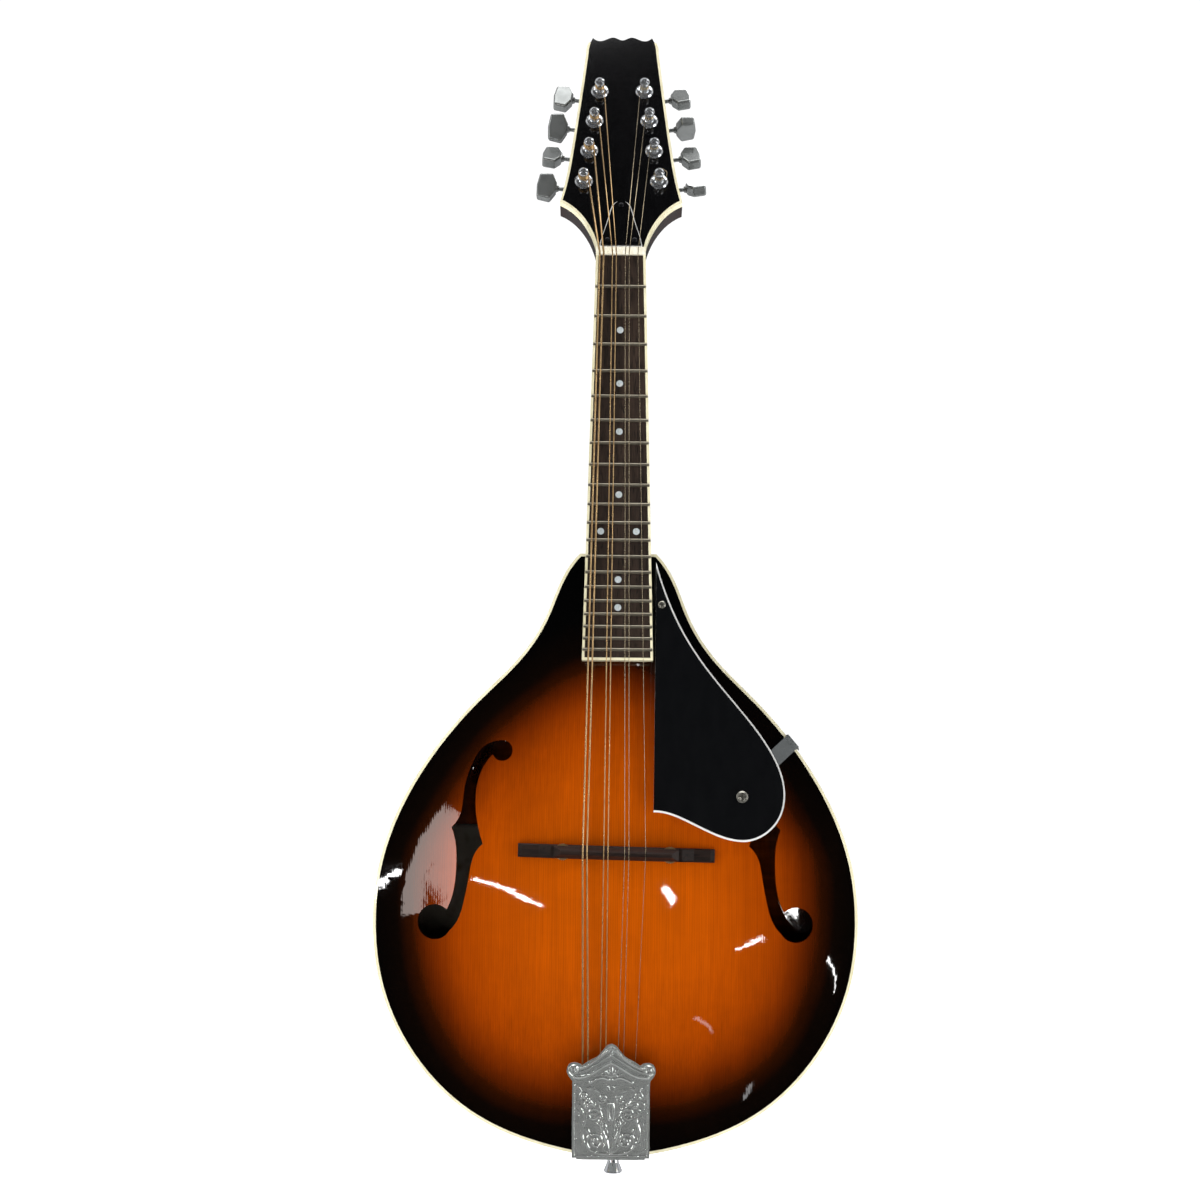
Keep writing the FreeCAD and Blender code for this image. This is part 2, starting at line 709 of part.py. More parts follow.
def make_neck():
    """Neck with heel, tongue and tenon, the headstock's core, veneer and binding."""
    sections = [neck_section(*section) for section in NECK_SECTIONS]
    shaft = Part.makeLoft(sections, True)
    shaft.Placement = NECK
    top = size("fingerboard_thickness")
    heel_end = 60.0
    shaft = shaft.cut(block((-60, -100, 300), (60, 100, size("body_top_height"))))
    heel_room = block((-60, HALF_DEPTH, 300), (60, HALF_DEPTH + heel_end, 420))
    shaft = shaft.cut(heel_room)

    tongue_wire = Part.makePolygon([Vector(-18.4, top, 6.0), Vector(18.4, top, 6.0),
                                    Vector(19.6, top, BOARD_END + 2), Vector(-19.6, top, BOARD_END + 2),
                                    Vector(-18.4, top, 6.0)])
    tongue = Part.Face(tongue_wire).extrude(Vector(0, 30, 0))
    tongue.Placement = NECK
    carve = layer_below(top_outside, -0.3, 60.0)
    tongue = tongue.cut(carve).cut(block((-60, -HALF_DEPTH - 0.3, 300), (60, 60, 420)))
    under_board = Part.makeBox(80, 60, 400, Vector(-40, top, -200))
    under_board.Placement = NECK
    tenon = block((-TENON_HALF, -HALF_DEPTH - 6, TENON_END), (TENON_HALF, TENON_DEPTH, 366))
    tenon = tenon.common(under_board).cut(top_layer)

    core = slab(head_face(), size("veneer_thickness"), size("headstock_thickness"))
    core = core.cut(nut_pocket()).cut(tuner_bores(BUSHING_BORE, -5, 20))
    edge = binding_ring(size("veneer_thickness"), HEAD_BINDING_DEPTH)
    core = core.cut(edge)
    core.Placement = HEAD
    board_room = block((-30, -40, -80), (30, top, NUT_BACK))
    board_room.Placement = NECK
    face_room = block((-60, -60, -20), (60, size("veneer_thickness"), 60))
    face_room.Placement = HEAD
    shaft = shaft.cut(face_room)
    pocket_room = nut_pocket()
    pocket_room.Placement = HEAD
    shaft = shaft.cut(pocket_room)
    whole = shaft.fuse([core.cut(board_room), tongue, tenon])
    channel = truss_rod_channel()
    channel.Placement = NECK
    whole = whole.cut(channel).cut(moved(bell_screw_holes(), HEAD)).cut(plate_screw_holes())
    shape_node("neck", whole.removeSplitter())

    nut_room = moved(block((-60, -60, -80), (60, 60, NUT_BACK)), HEAD.inverse().multiply(NECK))
    veneer = slab(head_face(HEAD_BINDING), 0, size("veneer_thickness"))
    veneer = veneer.cut(nut_pocket()).cut(tuner_bores(BUSHING_BORE, -5, 20)).cut(nut_room)
    shape_node("headstock_veneer", veneer.cut(bell_screw_holes()), HEAD)
    shape_node("headstock_binding", binding_ring(0, HEAD_BINDING_DEPTH).cut(nut_room), HEAD)


def binding_ring(low, high):
    """The headstock's edge binding between two depths, sides and flare only."""
    ring = slab(head_face(), low, high).cut(slab(head_face(HEAD_BINDING), low - 1, high + 1))
    return ring.common(block((-60, -10, 0.0), (60, 30, CORNER_TOP - 3.6)))


def make_nut():
    """The nut, with a slot for each string."""
    body = new_body("nut", NECK)
    half = size("nut_width") / 2
    top = size("fingerboard_thickness")
    side = polygon(((top, NUT_FRONT), (-2.1, NUT_FRONT), (-2.1, NUT_FRONT + 1.6),
                    (-1.2, NUT_BACK), (top, NUT_BACK)))
    drawing = new_sketch(body, "YZ_Plane", side, "nut_side", lift=-half)
    pad(body, drawing, "nut_blank", "Dimensions.nut_width")
    floor = dict(lift=-(NUT_SLOT_Y + NUT_SLOT_RELIEF), start=NUT_FRONT + NUT_BREAK)
    level = []
    falling = []
    for name in STRINGS:
        reach = STRINGS[name] / 2 + NUT_SLOT_ROOM
        x = nut_x(name)
        drift = nut_drift(name) * NUT_SLOT_RUN
        level += rectangle(x - reach, -NUT_SLOT_RUN, x + reach, 0.2)
        falling += polygon(((x - reach, 0), (x + reach, 0), (x + drift + reach, NUT_SLOT_RUN),
                            (x + drift - reach, NUT_SLOT_RUN)))
    drawing = new_sketch(body, "XZ_Plane", level, "front_slots", **floor)
    pocket(body, drawing, "front_slot_cuts", f"{NUT_SLOT_RUN} mm", back=True)
    drawing = new_sketch(body, "XZ_Plane", falling, "back_slots", tilt=-NUT_SLOT_FALL, **floor)
    pocket(body, drawing, "back_slot_cuts", f"{NUT_SLOT_RUN} mm", back=True)


def make_truss_rod():
    """The truss rod with its anchor, and the nut that tightens it."""
    axis_y = size("fingerboard_thickness") + 4.0
    thread_end = NUT_BACK + 15.0
    steel = rod(2.0, Vector(0, axis_y, 30.0), Vector(0, axis_y, thread_end))
    anchor = block((-2.9, axis_y - 3.5, 26.0), (2.9, axis_y + 3.9, 34.0))
    shape_node("truss_rod", steel.fuse(anchor).removeSplitter(), NECK)

    frame = NECK.multiply(Placement(Vector(0, axis_y, TRUSS_NUT_START), Rotation()))
    body = new_body("truss_rod_nut", frame)
    across = 3.6
    corners = [(across * math.cos(math.radians(60 * n)), across * math.sin(math.radians(60 * n)))
               for n in range(6)]
    drawing = new_sketch(body, "XY_Plane", polygon(corners), "hexagon")
    pad(body, drawing, "nut_body", f"{TRUSS_NUT_LENGTH} mm")
    bore = new_sketch(body, "XY_Plane", [circle(0, 0, 2.0 + size("running_clearance"))], "nut_bore")
    pocket(body, bore, "nut_bore_cut")


TRUSS_NUT_START = 195.5
TRUSS_NUT_LENGTH = 8.0

BELL = ((12.9, 0.9), (11.4, 8.9), (9.0, 17.6), (6.9, 26.5), (4.9, 31.8), (0.0, 34.6))


def bell_curves(inset):
    """The truss rod cover's bell outline, drawn in by inset."""
    low, high = BELL[0][1] + inset, BELL[-1][1] - inset
    share = (high - low) / (BELL[-1][1] - BELL[0][1])
    side = [(max(x - inset, 0.0), low + (z - BELL[0][1]) * share) for x, z in BELL]
    points = side + mirror_x(side[:-1])
    return [spline([Vector(a, b, 0) for a, b in points]),
            Part.LineSegment(Vector(*points[-1], 0), Vector(*points[0], 0))]


BELL_SCREWS = ((-8.2, 5.0), (8.2, 5.0), (0.0, 30.4))
BELL_SHANK = 0.8


def bell_screw_holes():
    """The holes of the truss rod cover's screws, in the headstock's frame."""
    face = -size("cover_white_ply") - size("cover_ply")
    return Part.makeCompound(
        [screw_hole(Vector(x, face, z), -Y_AXIS, shank_radius=BELL_SHANK) for x, z in BELL_SCREWS]
    )


def make_truss_rod_cover():
    """The bell-shaped cover: a black ply on a slightly wider white one, with its screws."""
    white = size("cover_white_ply")
    for label, inset, low, length in (
        ("truss_rod_cover_white_ply", 0.0, 0.0, "Dimensions.cover_white_ply"),
        ("truss_rod_cover", 0.7, white, "Dimensions.cover_ply"),
    ):
        body = new_body(label, HEAD)
        drawing = new_sketch(body, "XZ_Plane", bell_curves(inset), "bell", lift=low)
        pad(body, drawing, "ply", length)
        holes = [circle(x, z, 1.0) for x, z in BELL_SCREWS]
        pocket(body, new_sketch(body, "XZ_Plane", holes, "screw_holes"), "screw_hole_cuts")
    face = -white - size("cover_ply")
    screws = [wood_screw(Vector(x, face, z), -Y_AXIS, head_radius=1.6, shank_radius=BELL_SHANK)
              for x, z in BELL_SCREWS]
    shape_node("truss_rod_cover_screws", Part.makeCompound(screws), HEAD)


# ---------------------------------------------------------------- tuners

TUNERS = (
    # name, side, place along the row from the nut, rest angle of the button
    ("g1", -1, 0, 172.0),
    ("g2", -1, 1, 24.0),
    ("d1", -1, 2, 152.0),
    ("d2", -1, 3, 6.0),
    ("a1", 1, 3, -24.0),
    ("a2", 1, 2, 91.0),
    ("e1", 1, 1, -20.0),
    ("e2", 1, 0, -39.0),
)
PLATE_BACK = size("headstock_thickness") + size("tuner_plate_sheet")
GEAR_GAP = 3.1
GEAR_LOW = PLATE_BACK + GEAR_GAP
GEAR_MIDDLE = GEAR_LOW + size("gear_thickness") / 2
GEAR_TIP = 5.0
GEAR_ROOT = 4.05
WORM_CORE = 1.55
WORM_TIP = 2.5
WORM_HALF = 3.1
EAR_INNER = 4.0
EAR_THICKNESS = 1.0
EAR_RADIUS = 2.9
SHAFT_RADIUS = 1.3
BUTTON_START = 17.2
POST_TOP = -10.6
WAIST_TOP = -8.0
WAIST_FOOT = -4.4
WAIST_RADIUS = 2.3
STRING_HOLE = -6.8
PLATE_SCREW_DROP = 8.4


def gear_shape():
    """The worm gear about Y, with the middle of a tooth gap towards +Z."""
    teeth = int(size("gear_teeth"))
    pitch = 2 * math.pi / teeth
    points = []
    for tooth in range(teeth):
        middle = math.pi / 2 + (tooth + 0.5) * pitch
        for radius, share in ((GEAR_ROOT, -0.28), (GEAR_TIP, -0.12), (GEAR_TIP, 0.12), (GEAR_ROOT, 0.28)):
            angle = middle + share * pitch
            points.append(Vector(radius * math.cos(angle), 0, radius * math.sin(angle)))
    face = Part.Face(Part.makePolygon(points + points[:1]))
    gear = slab(face, GEAR_LOW, GEAR_LOW + size("gear_thickness"))
    return gear.cut(rod(1.6, Vector(0, GEAR_LOW - 1, 0), Vector(0, GEAR_LOW + 5, 0)))


def worm_shape():
    """The worm about +X, centred on the gear, its thread in the gear's gap at rest."""
    lead = 2 * math.pi * size("gear_pitch_radius") / size("gear_teeth")
    turns = 2
    root = WORM_CORE - 0.15
    helix = Part.makeLongHelix(lead, lead * turns, root)
    profile = [Vector(root, 0, -0.55), Vector(WORM_TIP, 0, -0.18),
               Vector(WORM_TIP, 0, 0.18), Vector(root, 0, 0.55)]
    thread = Part.Wire(helix).makePipeShell([Part.makePolygon(profile + profile[:1])], True, True)
    thread.translate(Vector(0, 0, -lead * turns / 2))
    core = rod(WORM_CORE, Vector(0, 0, -WORM_HALF), Vector(0, 0, WORM_HALF))
    worm = core.fuse(thread)
    worm.Placement = Placement(Vector(0, 0, 0), Rotation(Y_AXIS, 90))
    return worm


def button_shape():
    """The cast keystone button about +X, with its collar, starting at x = 0."""
    half = size("button_width") / 2
    length = size("button_length")
    outline = ((1.4, -3.2), (4.6, -half + 0.9), (length - 0.9, -half + 2.0), (length, 0.0))
    upper = [(a, -b) for a, b in reversed(outline[:-1])]
    corners = [Vector(a, 0, b) for a, b in list(outline) + upper]
    face = Part.Face(Part.makePolygon(corners + corners[:1]))
    thickness = size("button_thickness")
    paddle = slab(face, -thickness / 2, thickness / 2)
    paddle = paddle.makeFillet(1.5, paddle.Edges)
    collar = [(0, 0), (1.9, 0), (2.3, 1.2), (1.9, 2.4), (2.6, 5.0), (0, 5.0)]
    return paddle.fuse(turned(collar, Vector(0, 0, 0), X_AXIS)).removeSplitter()


def tuner_plate_shape():
    """A strip plate with ears that carry the four worm shafts."""
    sheet_gap = size("headstock_thickness")
    low = POST_PLACES[0] - 13.0
    high = POST_PLACES[-1] + 18.0
    half = 7.0
    strip = block((-half, sheet_gap, low + half), (half, PLATE_BACK, high - half))
    for end in (low + half, high - half):
        strip = strip.fuse(rod(half, Vector(0, sheet_gap, end), Vector(0, PLATE_BACK, end)))
    reach = GEAR_MIDDLE + 3.0
    for place in POST_PLACES:
        worm = place + size("worm_distance")
        for low_x in (EAR_INNER, -EAR_INNER - EAR_THICKNESS):
            high_x = low_x + EAR_THICKNESS
            shoulder = reach - EAR_RADIUS
            ear = block((low_x, PLATE_BACK - 0.4, worm - EAR_RADIUS), (high_x, shoulder, worm + EAR_RADIUS))
            crown = rod(EAR_RADIUS, Vector(low_x, shoulder, worm), Vector(high_x, shoulder, worm))
            strip = strip.fuse([ear, crown])
    for place in POST_PLACES:
        worm = place + size("worm_distance")
        hole = SHAFT_RADIUS + size("running_clearance")
        strip = strip.cut(rod(hole, Vector(-9, GEAR_MIDDLE, worm), Vector(9, GEAR_MIDDLE, worm)))
        bore = size("post_diameter") / 2 + size("running_clearance")
        strip = strip.cut(rod(bore, Vector(0, 0, place), Vector(0, 30, place)))
    for place in plate_screw_places():
        strip = strip.cut(rod(1.0, Vector(0, 0, place), Vector(0, 30, place)))
    return strip.removeSplitter()


def plate_screw_places():
    """Heights of a tuner plate's five screws, in its row's frame."""
    places = [place - PLATE_SCREW_DROP for place in POST_PLACES]
    return places + [POST_PLACES[-1] + 14.2]


def plate_screw_holes():
    """The holes of both tuner plates' screws, in the row frame."""
    holes = []
    for side in (-1, 1):
        for place in plate_screw_places():
            hole = screw_hole(Vector(0, PLATE_BACK, place), Y_AXIS)
            holes.append(moved(hole, tuner_frame(side)))
    return Part.makeCompound(holes)


def post_shape():
    """A string post with its waist, head and gear screw, about Y."""
    radius = size("post_diameter") / 2
    back = GEAR_LOW + size("gear_thickness")
    profile = [(0, POST_TOP), (1.6, POST_TOP), (radius - 0.2, POST_TOP + 0.7)]
    profile += [(radius + 0.1, POST_TOP + 1.5), (radius - 0.1, POST_TOP + 2.2)]
    profile += [(WAIST_RADIUS, WAIST_TOP), (WAIST_RADIUS, WAIST_FOOT)]
    profile += [(radius, WAIST_FOOT + 1.2), (radius, GEAR_LOW), (1.6, GEAR_LOW), (1.6, back)]
    profile += [(3.0, back), (3.0, back + 0.5), (2.2, back + 1.2), (0, back + 1.4)]
    post = turned(profile, Vector(0, 0, 0), Y_AXIS)
    hole = rod(0.8, Vector(-5, STRING_HOLE, 0), Vector(5, STRING_HOLE, 0))
    slot = block((-2.2, back + 0.9, -0.35), (2.2, back + 3, 0.35))
    return post.cut(hole).cut(slot)


def bushing_shape():
    """A domed ferrule about Y, pressed into the headstock's face."""
    radius = size("bushing_diameter") / 2
    bore = size("post_diameter") / 2 + size("running_clearance")
    profile = [(bore, 6.0), (BUSHING_BORE, 6.0), (BUSHING_BORE, 0.0), (radius, 0.0)]
    profile += [(radius, -0.5), (0.86 * radius, -1.4), (0.66 * radius, -1.9), (bore, -2.0)]
    return turned(profile, Vector(0, 0, 0), Y_AXIS)


def moved(shape, frame):
    """A copy of a shape, placed in a frame."""
    copy = shape.copy()
    copy.Placement = frame.multiply(copy.Placement)
    return copy


def make_tuners():
    """Two plates of four tuners: each has a button with its worm and a post with its gear."""
    bushings = []
    screws = []
    for side, label in ((-1, "tuner_plate_bass"), (1, "tuner_plate_treble")):
        frame = tuner_frame(side)
        shape_node(label, tuner_plate_shape(), frame)
        for place in plate_screw_places():
            screw = wood_screw(Vector(0, PLATE_BACK, place), Y_AXIS)
            screws.append(moved(screw, frame))
        for place in POST_PLACES:
            here = frame.multiply(Placement(Vector(0, 0, place), Rotation()))
            bushings.append(moved(bushing_shape(), here))
    shape_node("tuner_screws", Part.makeCompound(screws))
    shape_node("tuner_bushings", Part.makeCompound(bushings))

    gear = gear_shape()
    post = post_shape()
    worm = worm_shape()
    shaft = rod(SHAFT_RADIUS, Vector(-EAR_INNER - 1.6, 0, 0), Vector(BUTTON_START + 1, 0, 0))
    for name, side, place, angle in TUNERS:
        frame = tuner_frame(side)
        foot = frame.multiply(Placement(Vector(0, 0, POST_PLACES[place]), Rotation()))
        shape_node(f"tuner_{name}_post", Part.makeCompound([post, gear]), foot)
        worm_place = Vector(0, GEAR_MIDDLE, POST_PLACES[place] + size("worm_distance"))
        half_turn = Rotation(Z_AXIS, 0 if side > 0 else 180)
        paddle = moved(button_shape(), Placement(Vector(BUTTON_START, 0, 0), Rotation(X_AXIS, angle)))
        key = worm.fuse([shaft, paddle]).removeSplitter()
        shape_node(f"tuner_{name}_button", key, frame.multiply(Placement(worm_place, half_turn)))


# ---------------------------------------------------------------- bridge

TOP_AT_BRIDGE = -HALF_DEPTH - size("top_arch")
BASE_TOP = TOP_AT_BRIDGE - size("bridge_base_rise")
WHEEL_LOW = BASE_TOP - size("wheel_gap")
SADDLE_LOW = WHEEL_LOW - size("wheel_thickness")
SADDLE_CREST = SADDLE_LOW - size("saddle_rise")
SADDLE_STRING_DEPTH = 0.3
SADDLE_SLOT_DEPTH = 0.55
SADDLE_SLOT_ROOM = 0.12


def make_bridge():
    """Rosewood base on the arching, two threaded posts with wheels, and the saddle."""
    half = size("bridge_length") / 2
    thickness = size("bridge_thickness")
    right = ((half, -31.0), (half, TOP_AT_BRIDGE - 1.6), (half - 2.5, TOP_AT_BRIDGE - 2.4),
             (half - 12, TOP_AT_BRIDGE - 3.0), (size("bridge_post_spacing") / 2 + 7, BASE_TOP))
    left = [(-x, y) for x, y in reversed(right)]
    corners = [Vector(x, y, -thickness / 2) for x, y in list(right) + left]
    base = Part.Face(Part.makePolygon(corners + corners[:1])).extrude(Vector(0, 0, thickness))
    base = base.makeFillet(1.2, [edge for edge in base.Edges if lies_on_base_rim(edge, thickness)])
    foot_gap = rod(90.0, Vector(0, -32.2 + 90.0 - 2.2, -9), Vector(0, -32.2 + 90.0 - 2.2, 9))
    base.Placement = BRIDGE
    foot_gap.Placement = BRIDGE
    base = base.cut(layer_below(top_outside, 0.0, 30.0)).cut(foot_gap)
    post_radius = size("bridge_post_diameter") / 2
    posts = []
    for side in (-1, 1):
        x = side * size("bridge_post_spacing") / 2
        post = rod(post_radius, Vector(x, BASE_TOP + 3.6, 0), Vector(x, SADDLE_LOW - 3.4, 0))
        post.Placement = BRIDGE
        posts.append(post)
        base = base.cut(post)
    shape_node("bridge_base", base)
    shape_node("bridge_posts", Part.makeCompound(posts))

    for side, label in ((-1, "bridge_wheel_bass"), (1, "bridge_wheel_treble")):
        place = Placement(Vector(side * size("bridge_post_spacing") / 2, 0, 0), Rotation())
        body = new_body(label, BRIDGE.multiply(place))
        radius = size("wheel_diameter") / 2
        rim_curve = new_sketch(body, "XZ_Plane", [circle(0, 0, radius)], "wheel_rim", lift=-WHEEL_LOW)
        pad(body, rim_curve, "wheel", "Dimensions.wheel_thickness")
        bore = [circle(0, 0, post_radius + size("running_clearance"))]
        pocket(body, new_sketch(body, "XZ_Plane", bore, "wheel_bore"), "wheel_bore_cut")
        notches = 24
        knurl = [circle(radius * math.cos(2 * math.pi * n / notches),
                        radius * math.sin(2 * math.pi * n / notches), 0.35) for n in range(notches)]
        pocket(body, new_sketch(body, "XZ_Plane", knurl, "knurl"), "knurl_cuts")

    body = new_body("bridge_saddle", BRIDGE)
    half = size("saddle_length") / 2
    low, crest = -SADDLE_LOW, -SADDLE_CREST
    deep = 6.8
    section = polygon(((low, -deep / 2), (low + 2.6, -deep / 2), (crest - 0.4, -1.3), (crest, -0.7),
                       (crest, 0.7), (crest - 0.4, 1.3), (low + 2.6, deep / 2), (low, deep / 2)))
    section = [turned_to_front(line) for line in section]
    drawing = new_sketch(body, "YZ_Plane", section, "saddle_section", lift=-half)
    pad(body, drawing, "saddle_bar", "Dimensions.saddle_length")
    sky = -SADDLE_CREST + 5
    arch_under = [Part.Arc(Vector(-22, SADDLE_LOW + 1, 0), Vector(0, SADDLE_LOW - 2.2, 0),
                           Vector(22, SADDLE_LOW + 1, 0)),
                  Part.LineSegment(Vector(22, SADDLE_LOW + 1, 0), Vector(-22, SADDLE_LOW + 1, 0))]
    shoulder = half - 4.0
    end = [(half, -sky), (half, SADDLE_LOW - 3.4), (shoulder, SADDLE_CREST), (shoulder, -sky)]
    ends = polygon(end) + polygon(mirror_x(end))
    pocket(body, new_sketch(body, "XY_Plane", arch_under + ends, "saddle_shape"), "saddle_shape_cut")
    slots = []
    for name in STRINGS:
        x = saddle_x(name)
        reach = STRINGS[name] / 2 + SADDLE_SLOT_ROOM
        slots += rectangle(x - reach, SADDLE_CREST - 1, x + reach, SADDLE_CREST + SADDLE_SLOT_DEPTH)
    pocket(body, new_sketch(body, "XY_Plane", slots, "saddle_slots"), "saddle_slot_cuts")
    holes = [circle(side * size("bridge_post_spacing") / 2, 0, post_radius + 0.15) for side in (-1, 1)]
    drawing = new_sketch(body, "XZ_Plane", holes, "saddle_post_holes", lift=-SADDLE_LOW)
    pocket(body, drawing, "saddle_post_hole_cuts", "5.2 mm", back=True)


def turned_to_front(line):
    """Mirror a side section so that its heights point out of the soundboard."""
    return Part.LineSegment(
        Vector(-line.StartPoint.x, line.StartPoint.y, 0), Vector(-line.EndPoint.x, line.EndPoint.y, 0)
    )


def lies_on_base_rim(edge, thickness):
    """True for the upper long edges of the bridge base, which are rounded."""
    middle = edge.CenterOfMass
    return abs(abs(middle.z) - thickness / 2) < 0.01 and middle.y < TOP_AT_BRIDGE - 1.0


# ---------------------------------------------------------------- tailpiece

BASE_HALF = 19.6
COVER_INSIDE = size("tailpiece_width") / 2 - size("cover_sheet")
HOOK_ROWS = (31.0, 25.0)
HOOK_RADIUS = 0.9
END_WALL_DEPTH = 7.5
BASE_START = -3.4


def make_tailpiece():
    """The screwed-on base with its string hooks, and the cover that slides over it."""
    depth = size("cover_depth")
    thin = size("cover_sheet")
    half = size("tailpiece_width") / 2
    length = size("tailpiece_length")
    body = new_body("tailpiece_cover", COVER)
    pad(body, new_sketch(body, "XZ_Plane", rectangle(-half, 0, half, length), "cover_case"),
        "cover_blank", "Dimensions.cover_depth", back=True)
    hollow = rectangle(-half + thin, thin, half - thin, length + 1)
    pocket(body, new_sketch(body, "XZ_Plane", hollow, "cover_hollow", lift=-thin),
           "cover_hollow_cut", f"{depth} mm", back=False)
    under_wall = rectangle(-half + thin, -1, half - thin, thin + 0.1)
    pocket(body, new_sketch(body, "XZ_Plane", under_wall, "wall_room", lift=-END_WALL_DEPTH),
           "wall_room_cut", f"{depth} mm", back=False)
    scroll = crown_curves(half, length)
    pad(body, new_sketch(body, "XZ_Plane", scroll, "cover_crown"), "crown",
        "Dimensions.cover_sheet", back=True)

    base_low = depth - 0.4
    base_top = base_low - size("base_sheet")
    plate = block((-BASE_HALF, base_top, BASE_START), (BASE_HALF, base_low, length))
    edge = BASE_HALF + 1.0
    flanges = [block((low, base_low - 3.6, 4.0), (high, base_low, length - 2))
               for low, high in ((-edge, -BASE_HALF), (BASE_HALF, edge))]
    hooks = []
    for name in STRINGS_AND_SPARE:
        x, along = hook_place(name)
        tip = Vector(x, base_top - 4.2, along)
        hooks.append(rod(HOOK_RADIUS, Vector(x, base_top, along), tip))
        hooks.append(rod(HOOK_RADIUS + 0.35, tip + Y_AXIS * 0.5, tip))
    shell = plate.fuse(flanges + hooks)
    shell = moved(shell, COVER)
    leg_low = COVER_ORIGIN.y + base_low
    shift = size("tailpiece_shift")
    leg_top = size("body_tail_height")
    leg_half = 16.0
    leg = block((shift - leg_half, leg_low - 0.4, leg_top - size("base_sheet")),
                (shift + leg_half, 8.0, leg_top - 0.02))
    leg = leg.cut(rod(END_PIN_RADIUS, Vector(0, 0, 0), Vector(0, 0, 20))).cut(tail_screw_holes())
    shape_node("tailpiece_base", shell.fuse(leg).removeSplitter())
    face = leg_top - size("base_sheet")
    screws = [wood_screw(Vector(x + shift, y, face), -Z_AXIS, head_radius=2.0, shank_radius=0.9, shank=9.0)
              for x, y in TAIL_SCREWS]
    shape_node("tailpiece_screws", Part.makeCompound(screws))


def crown_curves(half, length):
    """The cover's pediment: scroll ears, a concave rise and a peak."""
    foot = length - 1.5
    ear = ((half - 2.0, foot), (half + 1.6, length + 2.0), (half + 3.2, length + 6.2),
           (half + 1.4, length + 9.9), (half - 2.2, length + 10.6), (half - 5.6, length + 8.9))
    rise = (ear[-1], (half - 9.5, length + 11.6), (half - 15.0, length + 15.0), (2.6, length + 20.2),
            (0.0, length + 21.4))
    curves = []
    for run in (ear, rise):
        curves.append(spline([Vector(a, b, 0) for a, b in run]))
        curves.append(spline([Vector(a, b, 0) for a, b in mirror_x(run)]))
    curves.append(Part.LineSegment(Vector(-ear[0][0], foot, 0), Vector(ear[0][0], foot, 0)))
    return curves


def hook_place(name):
    """A string's hook in the tailpiece's frame: its pair stands in two rows."""
    course, partner = string_position(name)
    x = (course - 1.5) * TAIL_COURSE_SPACING + (partner - 0.5) * TAIL_PAIR_SPACING
    return x, HOOK_ROWS[partner]


def make_strap_button():
    """The strap button, turned in one piece with the pin that fills its hole."""
    body = new_body("strap_button")
    radius = size("strap_button_diameter") / 2
    foot = size("strap_button_length")
    waist, flange = 3.0, 4.4
    profile = ((0, 0), (radius - 0.7, 0), (radius, 0.7), (radius, 1.4), (waist + 0.4, 6.0), (waist, foot - 3.2),
               (flange, foot - 1.2), (flange, foot), (END_PIN_RADIUS, foot), (END_PIN_RADIUS, 31.0), (0, 31.0))
    drawing = new_sketch(body, "XZ_Plane", polygon(profile), "button_profile")
    feature = body.newObject("PartDesign::Revolution", "button_turning")
    feature.Profile = drawing
    feature.ReferenceAxis = (drawing, ["V_Axis"])
    feature.Angle = 360
    drawing.Visibility = False
    body.Tip = feature


# ---------------------------------------------------------------- pickguard

GUARD_EDGE = (
    (22.3, -1.5),
    (29.3, -22.9),
    (38.7, -43.3),
    (56.0, -69.0),
    (73.9, -90.7),
    (88.9, -111.8),
    (96.4, -133.0),
    (92.6, -151.5),
    (76.4, -163.0),
    (58.0, -160.4),
    (38.0, -151.2),
    (28.5, -147.8),
    (21.4, -147.0),
)
GUARD_SCREWS = ((25.6, -27.0), (71.9, -138.0))
UPPER_SCREW_SHANK = 12.0
LOWER_SCREW_SHANK = 4.6
FOOT_SCREW_SHANK = 8.0


def guard_curves(inset):
    """The pickguard's outline; inset draws in all but its straight fingerboard side."""
    points = []
    for number, (x, z) in enumerate(GUARD_EDGE):
        before = GUARD_EDGE[max(number - 1, 0)]
        after = GUARD_EDGE[min(number + 1, len(GUARD_EDGE) - 1)]
        run_x, run_z = after[0] - before[0], after[1] - before[1]
        length = math.hypot(run_x, run_z)
        points.append((x + inset * run_z / length, z - inset * run_x / length))
    side_x = GUARD_EDGE[-1][0]
    points[0] = (GUARD_EDGE[0][0], GUARD_EDGE[0][1] - 3.5 * inset)
    points[-1] = (side_x, GUARD_EDGE[-1][1] + inset)
    ends = [Vector(*points[0], 0), Vector(*points[-1], 0)]
    return [spline([Vector(a, b, 0) for a, b in points]), Part.LineSegment(ends[1], ends[0])]


GUARD_BACK = size("pickguard_drop") + size("pickguard_black_ply") + size("pickguard_white_ply")


